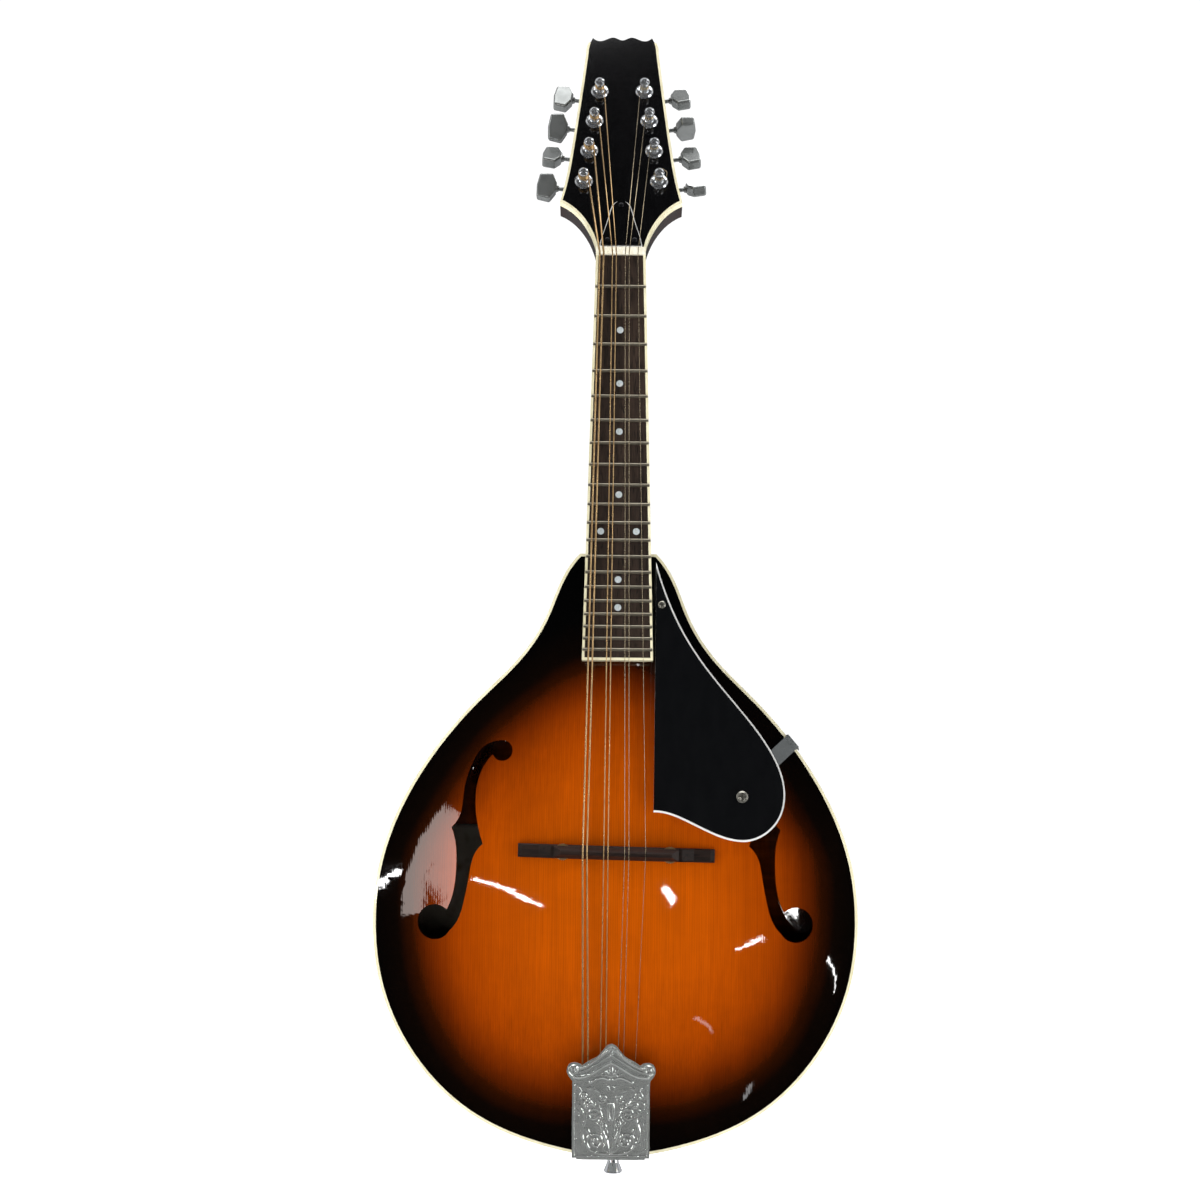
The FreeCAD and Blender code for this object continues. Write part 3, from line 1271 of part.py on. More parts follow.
def make_pickguard():
    """A raised two-ply pickguard, its screws, and the bracket that holds it off the rim."""
    drop = size("pickguard_drop")
    black = size("pickguard_black_ply")
    for label, inset, low, length in (
        ("pickguard", 1.1, drop, "Dimensions.pickguard_black_ply"),
        ("pickguard_white_ply", 0.0, drop + black, "Dimensions.pickguard_white_ply"),
    ):
        body = new_body(label, NECK)
        drawing = new_sketch(body, "XZ_Plane", guard_curves(inset), "guard_outline", lift=-low)
        pad(body, drawing, "ply", length, back=True)
        holes = [circle(x, z, 1.0) for x, z in GUARD_SCREWS]
        pocket(body, new_sketch(body, "XZ_Plane", holes, "screw_holes"), "screw_hole_cuts")

    upper, lower = GUARD_SCREWS
    small = wood_screw(Vector(upper[0], drop, upper[1]), -Y_AXIS, head_radius=2.2, shank=UPPER_SCREW_SHANK)
    large = wood_screw(Vector(lower[0], drop, lower[1]), -Y_AXIS, head_radius=3.4, shank=LOWER_SCREW_SHANK)
    foot = wood_screw(Vector(0, 0, 0), Z_AXIS, head_radius=2.4, shank=FOOT_SCREW_SHANK)
    foot = moved(foot, bracket_foot_frame())
    shape_node("pickguard_screws", Part.makeCompound([moved(small, NECK), moved(large, NECK), foot]))
    stand = rod(3.2, Vector(upper[0], GUARD_BACK, upper[1]), Vector(upper[0], GUARD_BACK + 20, upper[1]))
    stand = moved(stand.cut(rod(1.0, Vector(upper[0], -5, upper[1]), Vector(upper[0], 40, upper[1]))), NECK)
    shape_node("pickguard_spacer", stand.cut(layer_below(top_outside, 0.0, 60.0)))
    make_bracket()


def guard_screw_hole():
    """The upper pickguard screw's hole, in the row frame."""
    x, z = GUARD_SCREWS[0]
    origin = Vector(x, size("pickguard_drop"), z)
    return moved(screw_hole(origin, -Y_AXIS, shank=UPPER_SCREW_SHANK), NECK)


def bracket_line():
    """The bracket's run in plan: where its screw is, its direction and its length to the rim."""
    start = NECK.multVec(Vector(GUARD_SCREWS[1][0], GUARD_BACK, GUARD_SCREWS[1][1]))
    direction = Vector(0.76, 0, 0.65).normalize()
    foot = Vector(start.x, 0, start.z)
    run = Part.makeLine(foot, foot + direction * 90.0)
    edge_point = outline_curve.toShape().distToShape(run)[1][0][0]
    return start, direction, foot.distanceToPoint(edge_point)


def bracket_foot_frame():
    """The frame of the bracket's foot screw, on the rim below the pickguard."""
    start, direction, reach = bracket_line()
    outside = start + direction * (reach + BRACKET_STANDOFF + size("bracket_sheet"))
    return Placement(Vector(outside.x, BRACKET_FOOT_Y, outside.z), Rotation(Z_AXIS, direction))


BRACKET_STANDOFF = 0.6
BRACKET_DROP = 1.1
BRACKET_FOOT_Y = -4.0


def make_bracket():
    """A bent strip from under the pickguard, down over the edge, to a foot on the rim."""
    start, direction, reach = bracket_line()
    thin = size("bracket_sheet")
    half = size("bracket_width") / 2
    fall = math.tan(math.radians(NECK_ANGLE)) * direction.z
    bend = reach - 16.0
    low_end, high_end = [start.y + BRACKET_DROP + fall * run for run in (-6.0, bend)]
    wall = reach + BRACKET_STANDOFF
    knee = -HALF_DEPTH - 3.6
    path = ((-6.0, low_end), (bend, high_end), (reach - 2.0, knee), (wall + thin, knee + 2.4),
            (wall + thin, BRACKET_FOOT_Y + 5.0), (wall, BRACKET_FOOT_Y + 5.0), (wall, knee + 3.1),
            (reach - 2.0, knee + thin), (bend - 0.3, high_end + thin), (-6.0, low_end + thin))
    corners = [Vector(a, b, 0) for a, b in path]
    strip = Part.Face(Part.makePolygon(corners + corners[:1])).extrude(Vector(0, 0, 2 * half))
    strip.translate(Vector(0, 0, -half))
    across = direction.cross(Y_AXIS)
    turn = Rotation(direction, Y_AXIS, across, "XYZ")
    strip.Placement = Placement(Vector(start.x, 0, start.z), turn)
    upper_hole = moved(rod(1.0, Vector(*lower_screw_line(0)), Vector(*lower_screw_line(1))), NECK)
    foot_hole = moved(rod(1.0, Vector(0, 0, -5), Vector(0, 0, 5)), bracket_foot_frame())
    shape_node("pickguard_bracket", strip.cut(upper_hole).cut(foot_hole))


def lower_screw_line(share):
    """A point on the axis of the pickguard's lower screw, in the neck frame."""
    x, z = GUARD_SCREWS[1]
    return x, -5.0 + 20.0 * share, z


# ---------------------------------------------------------------- strings

# diameter of each string that is fitted, from the bass side; the treble side's last is missing
STRINGS = {"g1": 0.97, "g2": 0.97, "d1": 0.61, "d2": 0.61, "a1": 0.36, "a2": 0.36, "e1": 0.28}
STRINGS_AND_SPARE = tuple(STRINGS) + ("e2",)
NUT_COURSE_SPACING = 7.65
NUT_PAIR_SPACING = 2.35
SADDLE_COURSE_SPACING = 11.9
SADDLE_PAIR_SPACING = 2.4
TAIL_COURSE_SPACING = 9.65
TAIL_PAIR_SPACING = 3.2
NUT_SLOT_Y = -1.2
NUT_BREAK = 0.8
NUT_SLOT_RELIEF = 0.06
NUT_SLOT_ROOM = 0.12
NUT_SLOT_RUN = 6.0
NUT_SLOT_FALL = 14.0


def string_position(name):
    """A string's course, 0 to 3 from the bass side, and its place in the pair, 0 or 1."""
    return "gdae".index(name[0]), int(name[1]) - 1


def spread(name, course_spacing, pair_spacing):
    """Sideways place of a string among the eight."""
    course, partner = string_position(name)
    return (course - 1.5) * course_spacing + (partner - 0.5) * pair_spacing


def nut_x(name):
    """Sideways place at the nut."""
    return spread(name, NUT_COURSE_SPACING, NUT_PAIR_SPACING)


def saddle_x(name):
    """Sideways place at the saddle, in the bridge's frame."""
    return spread(name, SADDLE_COURSE_SPACING, SADDLE_PAIR_SPACING)


def string_tube(points, radius, bend=2.5):
    """A tube of straight runs joined by tangent arcs."""
    edges = []
    last = points[0]
    for before, corner, after in zip(points, points[1:], points[2:]):
        inward = (corner - before).normalize()
        outward = (after - corner).normalize()
        turn = inward.getAngle(outward)
        trim = bend * math.tan(turn / 2)
        start = corner - inward * trim
        end = corner + outward * trim
        middle = (start + end) * 0.5
        bulge = (corner - middle) * (math.tan(turn / 4) / math.tan(turn / 2))
        edges.append(Part.LineSegment(last, start).toShape())
        edges.append(Part.Arc(start, middle + bulge, end).toShape())
        last = end
    edges.append(Part.LineSegment(last, points[-1]).toShape())
    path = Part.Wire(edges)
    ring = Part.Wire(Part.Circle(points[0], points[1] - points[0], radius).toShape())
    return path.makePipeShell([ring], True, True)


def wrap_radius(name):
    """Radius of a string's turns about its post, to the string's middle."""
    return WAIST_RADIUS + size("running_clearance") + string_radius(name)


def wrap_height(name, turn=0):
    """Height of one of a string's turns along its post, the first next to the bushing."""
    radius = string_radius(name)
    return WAIST_FOOT - 0.1 - radius - 2.04 * radius * turn


def string_radius(name):
    """Half a string's diameter; the missing string left wire as thin as its neighbour's."""
    return STRINGS.get(name, min(STRINGS.values())) / 2


def post_foot(name):
    """The frame of a string's post, with the post along Y."""
    _, side, place, _ = next(tuner for tuner in TUNERS if tuner[0] == name)
    return tuner_frame(side).multiply(Placement(Vector(0, 0, POST_PLACES[place]), Rotation()))


def nut_point(name):
    """Where a string breaks over the nut, in the neck frame."""
    return Vector(nut_x(name), NUT_SLOT_Y - string_radius(name), NUT_FRONT + NUT_BREAK)


def post_point(name):
    """Where a string meets its post's inner side, in the row frame."""
    side = -1 if nut_x(name) < 0 else 1
    return post_foot(name).multVec(Vector(-side * wrap_radius(name), wrap_height(name), 0))


def nut_drift(name):
    """How far a string moves sideways for each millimetre it runs past the nut."""
    run = NECK.inverse().multVec(post_point(name)) - nut_point(name)
    return run.x / run.z


def winding(name, turns):
    """Turns of string round a post's waist, as rings that clear the post."""
    foot = post_foot(name)
    radius = string_radius(name)
    return [
        moved(Part.makeTorus(wrap_radius(name), radius, Vector(0, wrap_height(name, turn), 0), Y_AXIS), foot)
        for turn in range(turns)
    ]


def leftover_wire():
    """What is left of the missing string: turns on its post and one loose ring."""
    name = "e2"
    loose = Part.makeTorus(WAIST_RADIUS + 1.6, string_radius(name), Vector(0.9, STRING_HOLE, 0.8), Y_AXIS)
    return winding(name, 3) + [moved(loose, post_foot(name))]


def fitted_string(name):
    """A string's loop on its hook, its run over saddle and nut, and its turns on the post."""
    radius = string_radius(name)
    hook_x, hook_z = hook_place(name)
    loop = HOOK_RADIUS + size("running_clearance") + radius
    hook_y = size("cover_depth") - 4.4
    loop_ring = moved(Part.makeTorus(loop, radius, Vector(hook_x, hook_y, hook_z), Y_AXIS), COVER)
    hook = COVER.multVec(Vector(hook_x, hook_y, hook_z + loop))
    saddle = BRIDGE.multVec(Vector(saddle_x(name), SADDLE_CREST + SADDLE_STRING_DEPTH - radius, 0))
    tube = string_tube([hook, saddle, NECK.multVec(nut_point(name)), post_point(name)], radius)
    turns = 4 if radius < 0.2 else 3
    return [tube, loop_ring] + winding(name, turns)


def make_strings():
    """Seven strings from hook to post, grouped by course, and what is left of the eighth."""
    courses = {letter: [] for letter in "gdae"}
    for name in STRINGS:
        courses[name[0]] += fitted_string(name)
    courses["e"] += leftover_wire()
    for letter, shapes in courses.items():
        shape_node(f"strings_{letter}", Part.makeCompound(shapes))


# ---------------------------------------------------------------- build, check and write

make_soundbox()
make_fingerboard()
make_neck()
make_nut()
make_truss_rod()
make_truss_rod_cover()
make_tuners()
make_bridge()
make_tailpiece()
make_strap_button()
make_pickguard()
make_strings()
doc.recompute()

for item in doc.Objects:
    if {"Invalid", "Error"} & set(item.State):
        raise RuntimeError(f"{item.Label} did not build: {item.State}")
for label, item in nodes.items():
    if item.Shape.isNull() or not item.Shape.isValid() or not item.Shape.Solids:
        raise RuntimeError(f"{label} has no valid solid")

os.makedirs("parts", exist_ok=True)
for label, item in nodes.items():
    item.Shape.exportStep(f"parts/{label}.step")
print(len(nodes), "sub-parts written")
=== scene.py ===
"""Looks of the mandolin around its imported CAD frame: materials, strings, trim, light and camera."""
import json
import math

import bpy
from mathutils import Matrix, Vector, noise


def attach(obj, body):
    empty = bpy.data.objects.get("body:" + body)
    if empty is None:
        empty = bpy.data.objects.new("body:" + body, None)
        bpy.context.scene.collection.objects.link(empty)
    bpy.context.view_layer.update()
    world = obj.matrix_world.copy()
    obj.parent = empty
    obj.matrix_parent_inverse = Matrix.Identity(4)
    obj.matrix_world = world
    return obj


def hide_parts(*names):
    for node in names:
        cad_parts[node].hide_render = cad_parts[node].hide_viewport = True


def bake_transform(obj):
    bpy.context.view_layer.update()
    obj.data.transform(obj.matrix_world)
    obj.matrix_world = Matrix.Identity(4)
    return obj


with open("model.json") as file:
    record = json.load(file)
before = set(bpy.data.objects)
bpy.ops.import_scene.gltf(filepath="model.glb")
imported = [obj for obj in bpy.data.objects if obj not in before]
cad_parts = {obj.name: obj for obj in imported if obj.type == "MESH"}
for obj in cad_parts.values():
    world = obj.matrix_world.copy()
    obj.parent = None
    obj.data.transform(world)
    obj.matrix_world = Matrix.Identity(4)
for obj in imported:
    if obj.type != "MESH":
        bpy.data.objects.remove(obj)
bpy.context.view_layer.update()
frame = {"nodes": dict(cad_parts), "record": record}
NODES = frame["nodes"]
MM = 0.001
X_AXIS, Y_AXIS = Vector((1, 0, 0)), Vector((0, 1, 0))


# ---------------------------------------------------------------- frames, as the CAD has them

def place(x, y, z, angle=0.0, axis="X"):
    """A frame moved by millimetres and turned by degrees."""
    turn = Matrix.Rotation(math.radians(angle), 4, axis)
    return Matrix.Translation(Vector((x, y, z)) * MM) @ turn


NECK = place(0, -31.5, 356.0, -4.5)
HEAD = NECK @ place(0, 2.0, 191.0, -14.0)
BRIDGE = place(0.3, 0, 185.6, 1.2, "Y")
COVER = place(-1.5, -31.4, 14.3, 6.35)
TUNERS = {"g1": (-1, 0), "g2": (-1, 1), "d1": (-1, 2), "d2": (-1, 3),
          "a1": (1, 3), "a2": (1, 2), "e1": (1, 1), "e2": (1, 0)}


def at(matrix, x, y, z):
    """A point given in millimetres in a frame, in the row frame in metres."""
    return matrix @ (Vector((x, y, z)) * MM)


def post_frame(name):
    """The frame of one tuner's post."""
    side, row = TUNERS[name]
    return HEAD @ place(side * 18.55, 0, 83.75, -side * 7.5, "Y") @ place(0, 0, 23.2 * (row - 1.5))


# ---------------------------------------------------------------- material graphs

def srgb(red, green, blue):
    """A colour given as 0 to 255 in sRGB, as the shader's linear numbers."""
    def linear(value):
        share = value / 255
        return share / 12.92 if share <= 0.04045 else ((share + 0.055) / 1.055) ** 2.4
    return (linear(red), linear(green), linear(blue), 1.0)


def dimmed(colour, share):
    """A colour with a share of its brightness."""
    return tuple(share * part for part in colour[:3]) + (1.0,)


class Graph:
    """A material's node tree with one Principled shader."""

    def __init__(self, name, **sockets):
        self.material = bpy.data.materials.new(name)
        self.material.use_nodes = True
        self.tree = self.material.node_tree
        self.tree.nodes.clear()
        output = self.add("ShaderNodeOutputMaterial")
        self.shader = self.add("ShaderNodeBsdfPrincipled")
        self.tree.links.new(self.shader.outputs[0], output.inputs[0])
        for socket, value in sockets.items():
            self.set(socket.replace("_", " "), value)
        self.where = self.add("ShaderNodeTexCoord").outputs["Object"]

    def add(self, kind, **values):
        node = self.tree.nodes.new(kind)
        for name, value in values.items():
            setattr(node, name, value)
        return node

    def feed(self, socket, value):
        """Puts a number, a colour or another node's output into a socket."""
        if isinstance(value, bpy.types.NodeSocket):
            self.tree.links.new(value, socket)
        else:
            socket.default_value = value

    def set(self, name, value):
        self.feed(self.shader.inputs[name], value)

    def math(self, operation, first, second=0.5, clamp=False):
        node = self.add("ShaderNodeMath", operation=operation, use_clamp=clamp)
        self.feed(node.inputs[0], first)
        self.feed(node.inputs[1], second)
        return node.outputs[0]

    def map(self, scale, turn=(0, 0, 0)):
        """The object's own coordinates in metres, scaled, and turned by degrees."""
        node = self.add("ShaderNodeMapping")
        self.feed(node.inputs["Vector"], self.where)
        node.inputs["Scale"].default_value = scale
        node.inputs["Rotation"].default_value = [math.radians(angle) for angle in turn]
        return node.outputs[0]

    def parts(self):
        """The object's own x, y and z."""
        node = self.add("ShaderNodeSeparateXYZ")
        self.feed(node.inputs[0], self.where)
        return node.outputs[:3]

    def grey(self, value):
        """One number as the colour with three such parts."""
        node = self.add("ShaderNodeCombineColor")
        for socket in node.inputs[:3]:
            self.feed(socket, value)
        return node.outputs[0]

    def noise(self, vector, detail=3.0, roughness=0.55, distortion=0.0):
        node = self.add("ShaderNodeTexNoise")
        self.feed(node.inputs["Vector"], vector)
        for name, value in (("Scale", 1.0), ("Detail", detail), ("Roughness", roughness),
                            ("Distortion", distortion)):
            node.inputs[name].default_value = value
        return node.outputs[0]

    def wave(self, vector, scale, distortion=0.0, detail=2.0, detail_scale=1.0, axis="X"):
        node = self.add("ShaderNodeTexWave", bands_direction=axis)
        self.feed(node.inputs["Vector"], vector)
        for name, value in (("Scale", scale), ("Distortion", distortion), ("Detail", detail),
                            ("Detail Scale", detail_scale)):
            node.inputs[name].default_value = value
        return node.outputs["Fac"]

    def range(self, value, low, high, to_low=0.0, to_high=1.0, smooth=False):
        kind = "SMOOTHSTEP" if smooth else "LINEAR"
        node = self.add("ShaderNodeMapRange", interpolation_type=kind)
        self.feed(node.inputs["Value"], value)
        for name, number in (("From Min", low), ("From Max", high), ("To Min", to_low),
                             ("To Max", to_high)):
            node.inputs[name].default_value = number
        return node.outputs[0]

    def ramp(self, value, stops):
        """A colour by position: stops are (position, colour)."""
        node = self.add("ShaderNodeValToRGB")
        self.feed(node.inputs[0], value)
        elements = node.color_ramp.elements
        while len(elements) < len(stops):
            elements.new(0.5)
        for element, (position, colour) in zip(elements, stops):
            element.position = position
            element.color = colour
        return node.outputs[0]

    def mix(self, share, first, second, blend="MIX"):
        node = self.add("ShaderNodeMix", data_type="RGBA", blend_type=blend)
        self.feed(node.inputs["Factor"], share)
        self.feed(node.inputs[6], first)
        self.feed(node.inputs[7], second)
        return node.outputs[2]

    def bump(self, height, strength, distance):
        node = self.add("ShaderNodeBump")
        node.inputs["Strength"].default_value = strength
        node.inputs["Distance"].default_value = distance
        self.feed(node.inputs["Height"], height)
        previous = self.shader.inputs["Normal"].links
        if previous:
            self.tree.links.new(previous[0].from_socket, node.inputs["Normal"])
        self.set("Normal", node.outputs[0])


def fine_grain(graph, across, along):
    """Wood fibres: noise drawn out along the grain. Both scales are in cells per metre."""
    return graph.noise(graph.map(scale=(across, across, along)), detail=5.0, roughness=0.62)


BURST_CENTRE = 0.165
BURST_POWER_LOW, BURST_POWER_HIGH = 2.5, 1.55


def super_radius(graph, half_width, low_reach, high_reach):
    """Distance from the burst's middle as a share of its edge, rounder below and leaner above."""
    x, _, z = graph.parts()
    sideways = graph.math("DIVIDE", graph.math("ABSOLUTE", x), half_width)
    up = graph.math("SUBTRACT", z, BURST_CENTRE)
    upward = graph.range(up, -0.03, 0.05, 0.0, 1.0, smooth=True)
    reach = graph.range(upward, 0.0, 1.0, low_reach, high_reach)
    power = graph.range(upward, 0.0, 1.0, BURST_POWER_LOW, BURST_POWER_HIGH)
    along = graph.math("DIVIDE", graph.math("ABSOLUTE", up), reach)
    total = graph.math("ADD", graph.math("POWER", sideways, power),
                       graph.math("POWER", along, power))
    return graph.math("POWER", total, graph.math("DIVIDE", 1.0, power))


def top_wood():
    """Spruce with fine upright grain under an amber to black burst."""
    graph = Graph("spruce_burst", Coat_Weight=1.0, Coat_Roughness=0.022, Coat_IOR=1.5,
                  Specular_IOR_Level=0.0)
    radius = super_radius(graph, half_width=0.117, low_reach=0.126, high_reach=0.130)
    wander = graph.noise(graph.map(scale=(16, 16, 9)), detail=2.0)
    radius = graph.math("ADD", radius, graph.range(wander, 0.0, 1.0, -0.035, 0.035))
    burst = graph.ramp(graph.math("DIVIDE", radius, 1.25), (
        (0.0, srgb(186, 81, 1)), (0.30, srgb(180, 77, 1)), (0.44, srgb(170, 71, 1)),
        (0.56, srgb(157, 63, 0)), (0.64, srgb(140, 54, 0)), (0.70, srgb(116, 42, 0)),
        (0.755, srgb(84, 28, 0)), (0.81, srgb(38, 11, 0)), (0.865, srgb(8, 3, 1)),
        (1.0, srgb(1, 1, 1))))
    rings = graph.wave(graph.map(scale=(1, 0.02, 0.02)), 235.0, distortion=2.2, detail=3.0,
                       detail_scale=1.2)
    fibres = fine_grain(graph, 900.0, 14.0)
    streaks = fine_grain(graph, 55.0, 2.0)
    lines = graph.math("MULTIPLY", graph.range(rings, 0.0, 1.0, 0.91, 1.04),
                       graph.range(fibres, 0.3, 0.7, 0.86, 1.10))
    lines = graph.math("MULTIPLY", lines, graph.range(streaks, 0.3, 0.7, 0.88, 1.10))
    silk = graph.noise(graph.map(scale=(26, 26, 60), turn=(0, 14, 0)), detail=3.0, distortion=0.8)
    lines = graph.math("MULTIPLY", lines, graph.range(silk, 0.35, 0.75, 0.97, 1.06))
    graph.set("Base Color", graph.mix(1.0, burst, graph.grey(lines), "MULTIPLY"))
    graph.set("Roughness", graph.range(fibres, 0.3, 0.7, 0.34, 0.46))
    graph.bump(graph.math("ADD", rings, fibres), 0.05, 0.00008)
    graph.set("Coat Normal", coat_normal(graph, grain=rings))
    return graph.material


def coat_normal(graph, grain=None):
    """The slightly uneven surface of a sprayed clear coat, and the grain that shows through it."""
    ripple = graph.noise(graph.map(scale=(230, 230, 230)), detail=1.0)
    slow = graph.noise(graph.map(scale=(28, 28, 28)), detail=1.0)
    height = graph.math("ADD", graph.math("MULTIPLY", ripple, 0.3),
                        graph.math("MULTIPLY", slow, 3.0))
    if grain is not None:
        height = graph.math("ADD", height, graph.math("MULTIPLY", grain, 0.03))
    node = graph.add("ShaderNodeBump")
    node.inputs["Strength"].default_value = 0.05
    node.inputs["Distance"].default_value = 0.0006
    graph.feed(node.inputs["Height"], height)
    return node.outputs[0]


def flamed_wood(name, colour, edge_colour=None):
    """Gloss maple with bands of flame across the grain; an edge colour adds a burst."""
    graph = Graph(name, Coat_Weight=1.0, Coat_Roughness=0.03, Coat_IOR=1.5, Specular_IOR_Level=0.0)
    stretched = graph.map(scale=(14, 30, 170), turn=(0, 9, 0))
    bands = graph.noise(stretched, roughness=0.5, distortion=0.6)
    bands = graph.range(bands, 0.32, 0.68, smooth=True)
    fibres = fine_grain(graph, 700.0, 12.0)
    tone = graph.math("ADD", graph.range(bands, 0.0, 1.0, 0.0, 0.62),
                      graph.range(fibres, 0.3, 0.7, 0.0, 0.38))
    wood = graph.mix(tone, dimmed(colour, 0.45), colour)
    if edge_colour:
        radius = super_radius(graph, half_width=0.120, low_reach=0.132, high_reach=0.140)
        wood = graph.mix(graph.range(radius, 0.62, 1.05, smooth=True), wood, edge_colour)
    graph.set("Base Color", wood)
    graph.set("Roughness", graph.range(fibres, 0.3, 0.7, 0.33, 0.45))
    graph.bump(fibres, 0.04, 0.00008)
    graph.set("Coat Normal", coat_normal(graph))
    return graph.material


def bare_wood():
    """Sanded, unfinished spruce inside the body."""
    graph = Graph("bare_spruce")
    fibres = fine_grain(graph, 800.0, 14.0)
    rings = graph.wave(graph.map(scale=(1, 0.1, 0.05)), 80.0, distortion=2.0)
    tone = graph.math("MULTIPLY", fibres, graph.range(rings, 0.0, 1.0, 0.7, 1.1))
    stops = ((0.2, srgb(150, 112, 70)), (0.7, srgb(214, 178, 128)))
    graph.set("Base Color", graph.ramp(tone, stops))
    graph.set("Roughness", graph.range(fibres, 0.2, 0.8, 0.62, 0.8))
    graph.bump(fibres, 0.25, 0.0002)
    return graph.material


def rosewood(name, light, dark, rough):
    """Open-pored dark wood, its grain running along the neck or the bridge."""
    along_bridge = name == "rosewood_bridge"
    stretch = (24.0, 700.0, 700.0) if along_bridge else (700.0, 700.0, 22.0)
    wide = (5.0, 110.0, 110.0) if along_bridge else (110.0, 110.0, 4.0)
    pore = (60.0, 1500.0, 1500.0) if along_bridge else (1500.0, 1500.0, 60.0)
    graph = Graph(name, Coat_Weight=0.04, Coat_Roughness=0.35, Specular_IOR_Level=0.25)
    fibres = graph.noise(graph.map(scale=stretch), detail=5.0, roughness=0.6)
    figure = graph.noise(graph.map(scale=wide), detail=3.0, distortion=0.5)
    tone = graph.math("ADD", graph.math("MULTIPLY", fibres, 0.5),
                      graph.math("MULTIPLY", figure, 0.5))
    pores = graph.range(graph.noise(graph.map(scale=pore), detail=2.0), 0.56, 0.66, 1.0, 0.35)
    middle = tuple((a + b) / 2 for a, b in zip(light, dark))
    wood = graph.ramp(tone, ((0.34, dark), (0.5, middle), (0.66, light)))
    graph.set("Base Color", graph.mix(1.0, wood, graph.grey(pores), "MULTIPLY"))
    graph.set("Roughness", graph.range(fibres, 0.3, 0.7, rough - 0.06, rough + 0.08))
    graph.bump(pores, 0.35, 0.00012)
    graph.bump(fibres, 0.10, 0.0001)
    return graph.material


def plastic(name, colour, tint, roughness, coat=0.0, speckle=180.0, bump=0.05, rub=0.06, shine=0.5):
    """Celluloid, ply or bone: slight clouding, rubbed gloss and fine scuffs."""
    graph = Graph(name, Coat_Weight=coat, Coat_Roughness=0.05, Specular_IOR_Level=shine)
    clouds = graph.noise(graph.map(scale=(speckle, speckle, speckle * 0.35)), detail=4.0)
    graph.set("Base Color", graph.mix(graph.range(clouds, 0.35, 0.7), colour, tint))
    scuffs = graph.noise(graph.map(scale=(900, 900, 260), turn=(0, 35, 0)), detail=3.0)
    least, most = max(0.02, roughness - rub), roughness + rub
    graph.set("Roughness", graph.range(scuffs, 0.3, 0.7, least, most))
    graph.bump(graph.math("ADD", scuffs, graph.math("MULTIPLY", clouds, 1.5)), bump, 0.0002)
    return graph.material


def metal(name, colour, roughness, brush=(500, 500, 500), spots=60.0, metallic=0.92):
    """Plated or drawn metal with hairline marks and faint tarnish."""
    graph = Graph(name, Metallic=metallic)
    hairs = graph.noise(graph.map(scale=brush), detail=4.0)
    dull = graph.noise(graph.map(scale=(spots, spots, spots)), detail=4.0)
    graph.set("Base Color", graph.mix(graph.range(dull, 0.42, 0.68), colour, dimmed(colour, 0.808)))
    wear = graph.math("ADD", graph.range(hairs, 0.3, 0.7, -0.03, 0.04),
                      graph.range(dull, 0.4, 0.7, 0.0, 0.05))
    graph.set("Roughness", graph.math("ADD", wear, roughness, clamp=True))
    graph.bump(hairs, 0.03, 0.0001)
    return graph.material


def wound_wire():
    """Bronze wrap on a steel core: ridges round the string, slightly tarnished."""
    graph = Graph("bronze_wound", Metallic=0.85)
    ridges = graph.wave(graph.map(scale=(0.2, 0.2, 1.0)), 900.0, axis="Z")
    dull = graph.noise(graph.map(scale=(300, 300, 90)), detail=3.0)
    bronze, tarnished = srgb(222, 188, 136), srgb(180, 146, 102)
    graph.set("Base Color", graph.mix(graph.range(dull, 0.35, 0.7), bronze, tarnished))
    graph.set("Roughness", graph.range(dull, 0.3, 0.7, 0.22, 0.38))
    graph.bump(ridges, 0.12, 0.00003)
    return graph.material


def pearl():
    """Grey mother-of-pearl with soft drifting colour."""
    graph = Graph("pearl_shell", Coat_Weight=0.6, Coat_Roughness=0.08)
    folds = graph.noise(graph.map(scale=(420, 420, 260)), detail=3.0, distortion=1.6)
    graph.set("Base Color", graph.ramp(folds, (
        (0.30, srgb(150, 158, 160)), (0.45, srgb(196, 202, 200)), (0.55, srgb(176, 190, 198)),
        (0.70, srgb(214, 208, 200)))))
    graph.set("Roughness", graph.range(folds, 0.3, 0.7, 0.18, 0.34))
    graph.bump(folds, 0.08, 0.0001)
    return graph.material


def paper():
    """A blank, slightly foxed label; its paper colours carry painted shade, darkened for the shade
    inside the body.
    """
    graph = Graph("label_paper")
    fibre = graph.noise(graph.map(scale=(500, 500, 500)), detail=4.0)
    foxing = graph.noise(graph.map(scale=(90, 90, 90)), detail=2.0)
    # painted shade: both paper colours are darker than the paper itself, standing in for the shade
    # inside the body; the browner one also carries the foxing
    shaded_paper, shaded_foxing = srgb(104, 98, 86), srgb(84, 74, 58)
    graph.set("Base Color", graph.mix(graph.range(foxing, 0.5, 0.7), shaded_paper, shaded_foxing))
    graph.set("Roughness", graph.range(fibre, 0.2, 0.8, 0.75, 0.92))
    graph.bump(fibre, 0.2, 0.0001)
    return graph.material


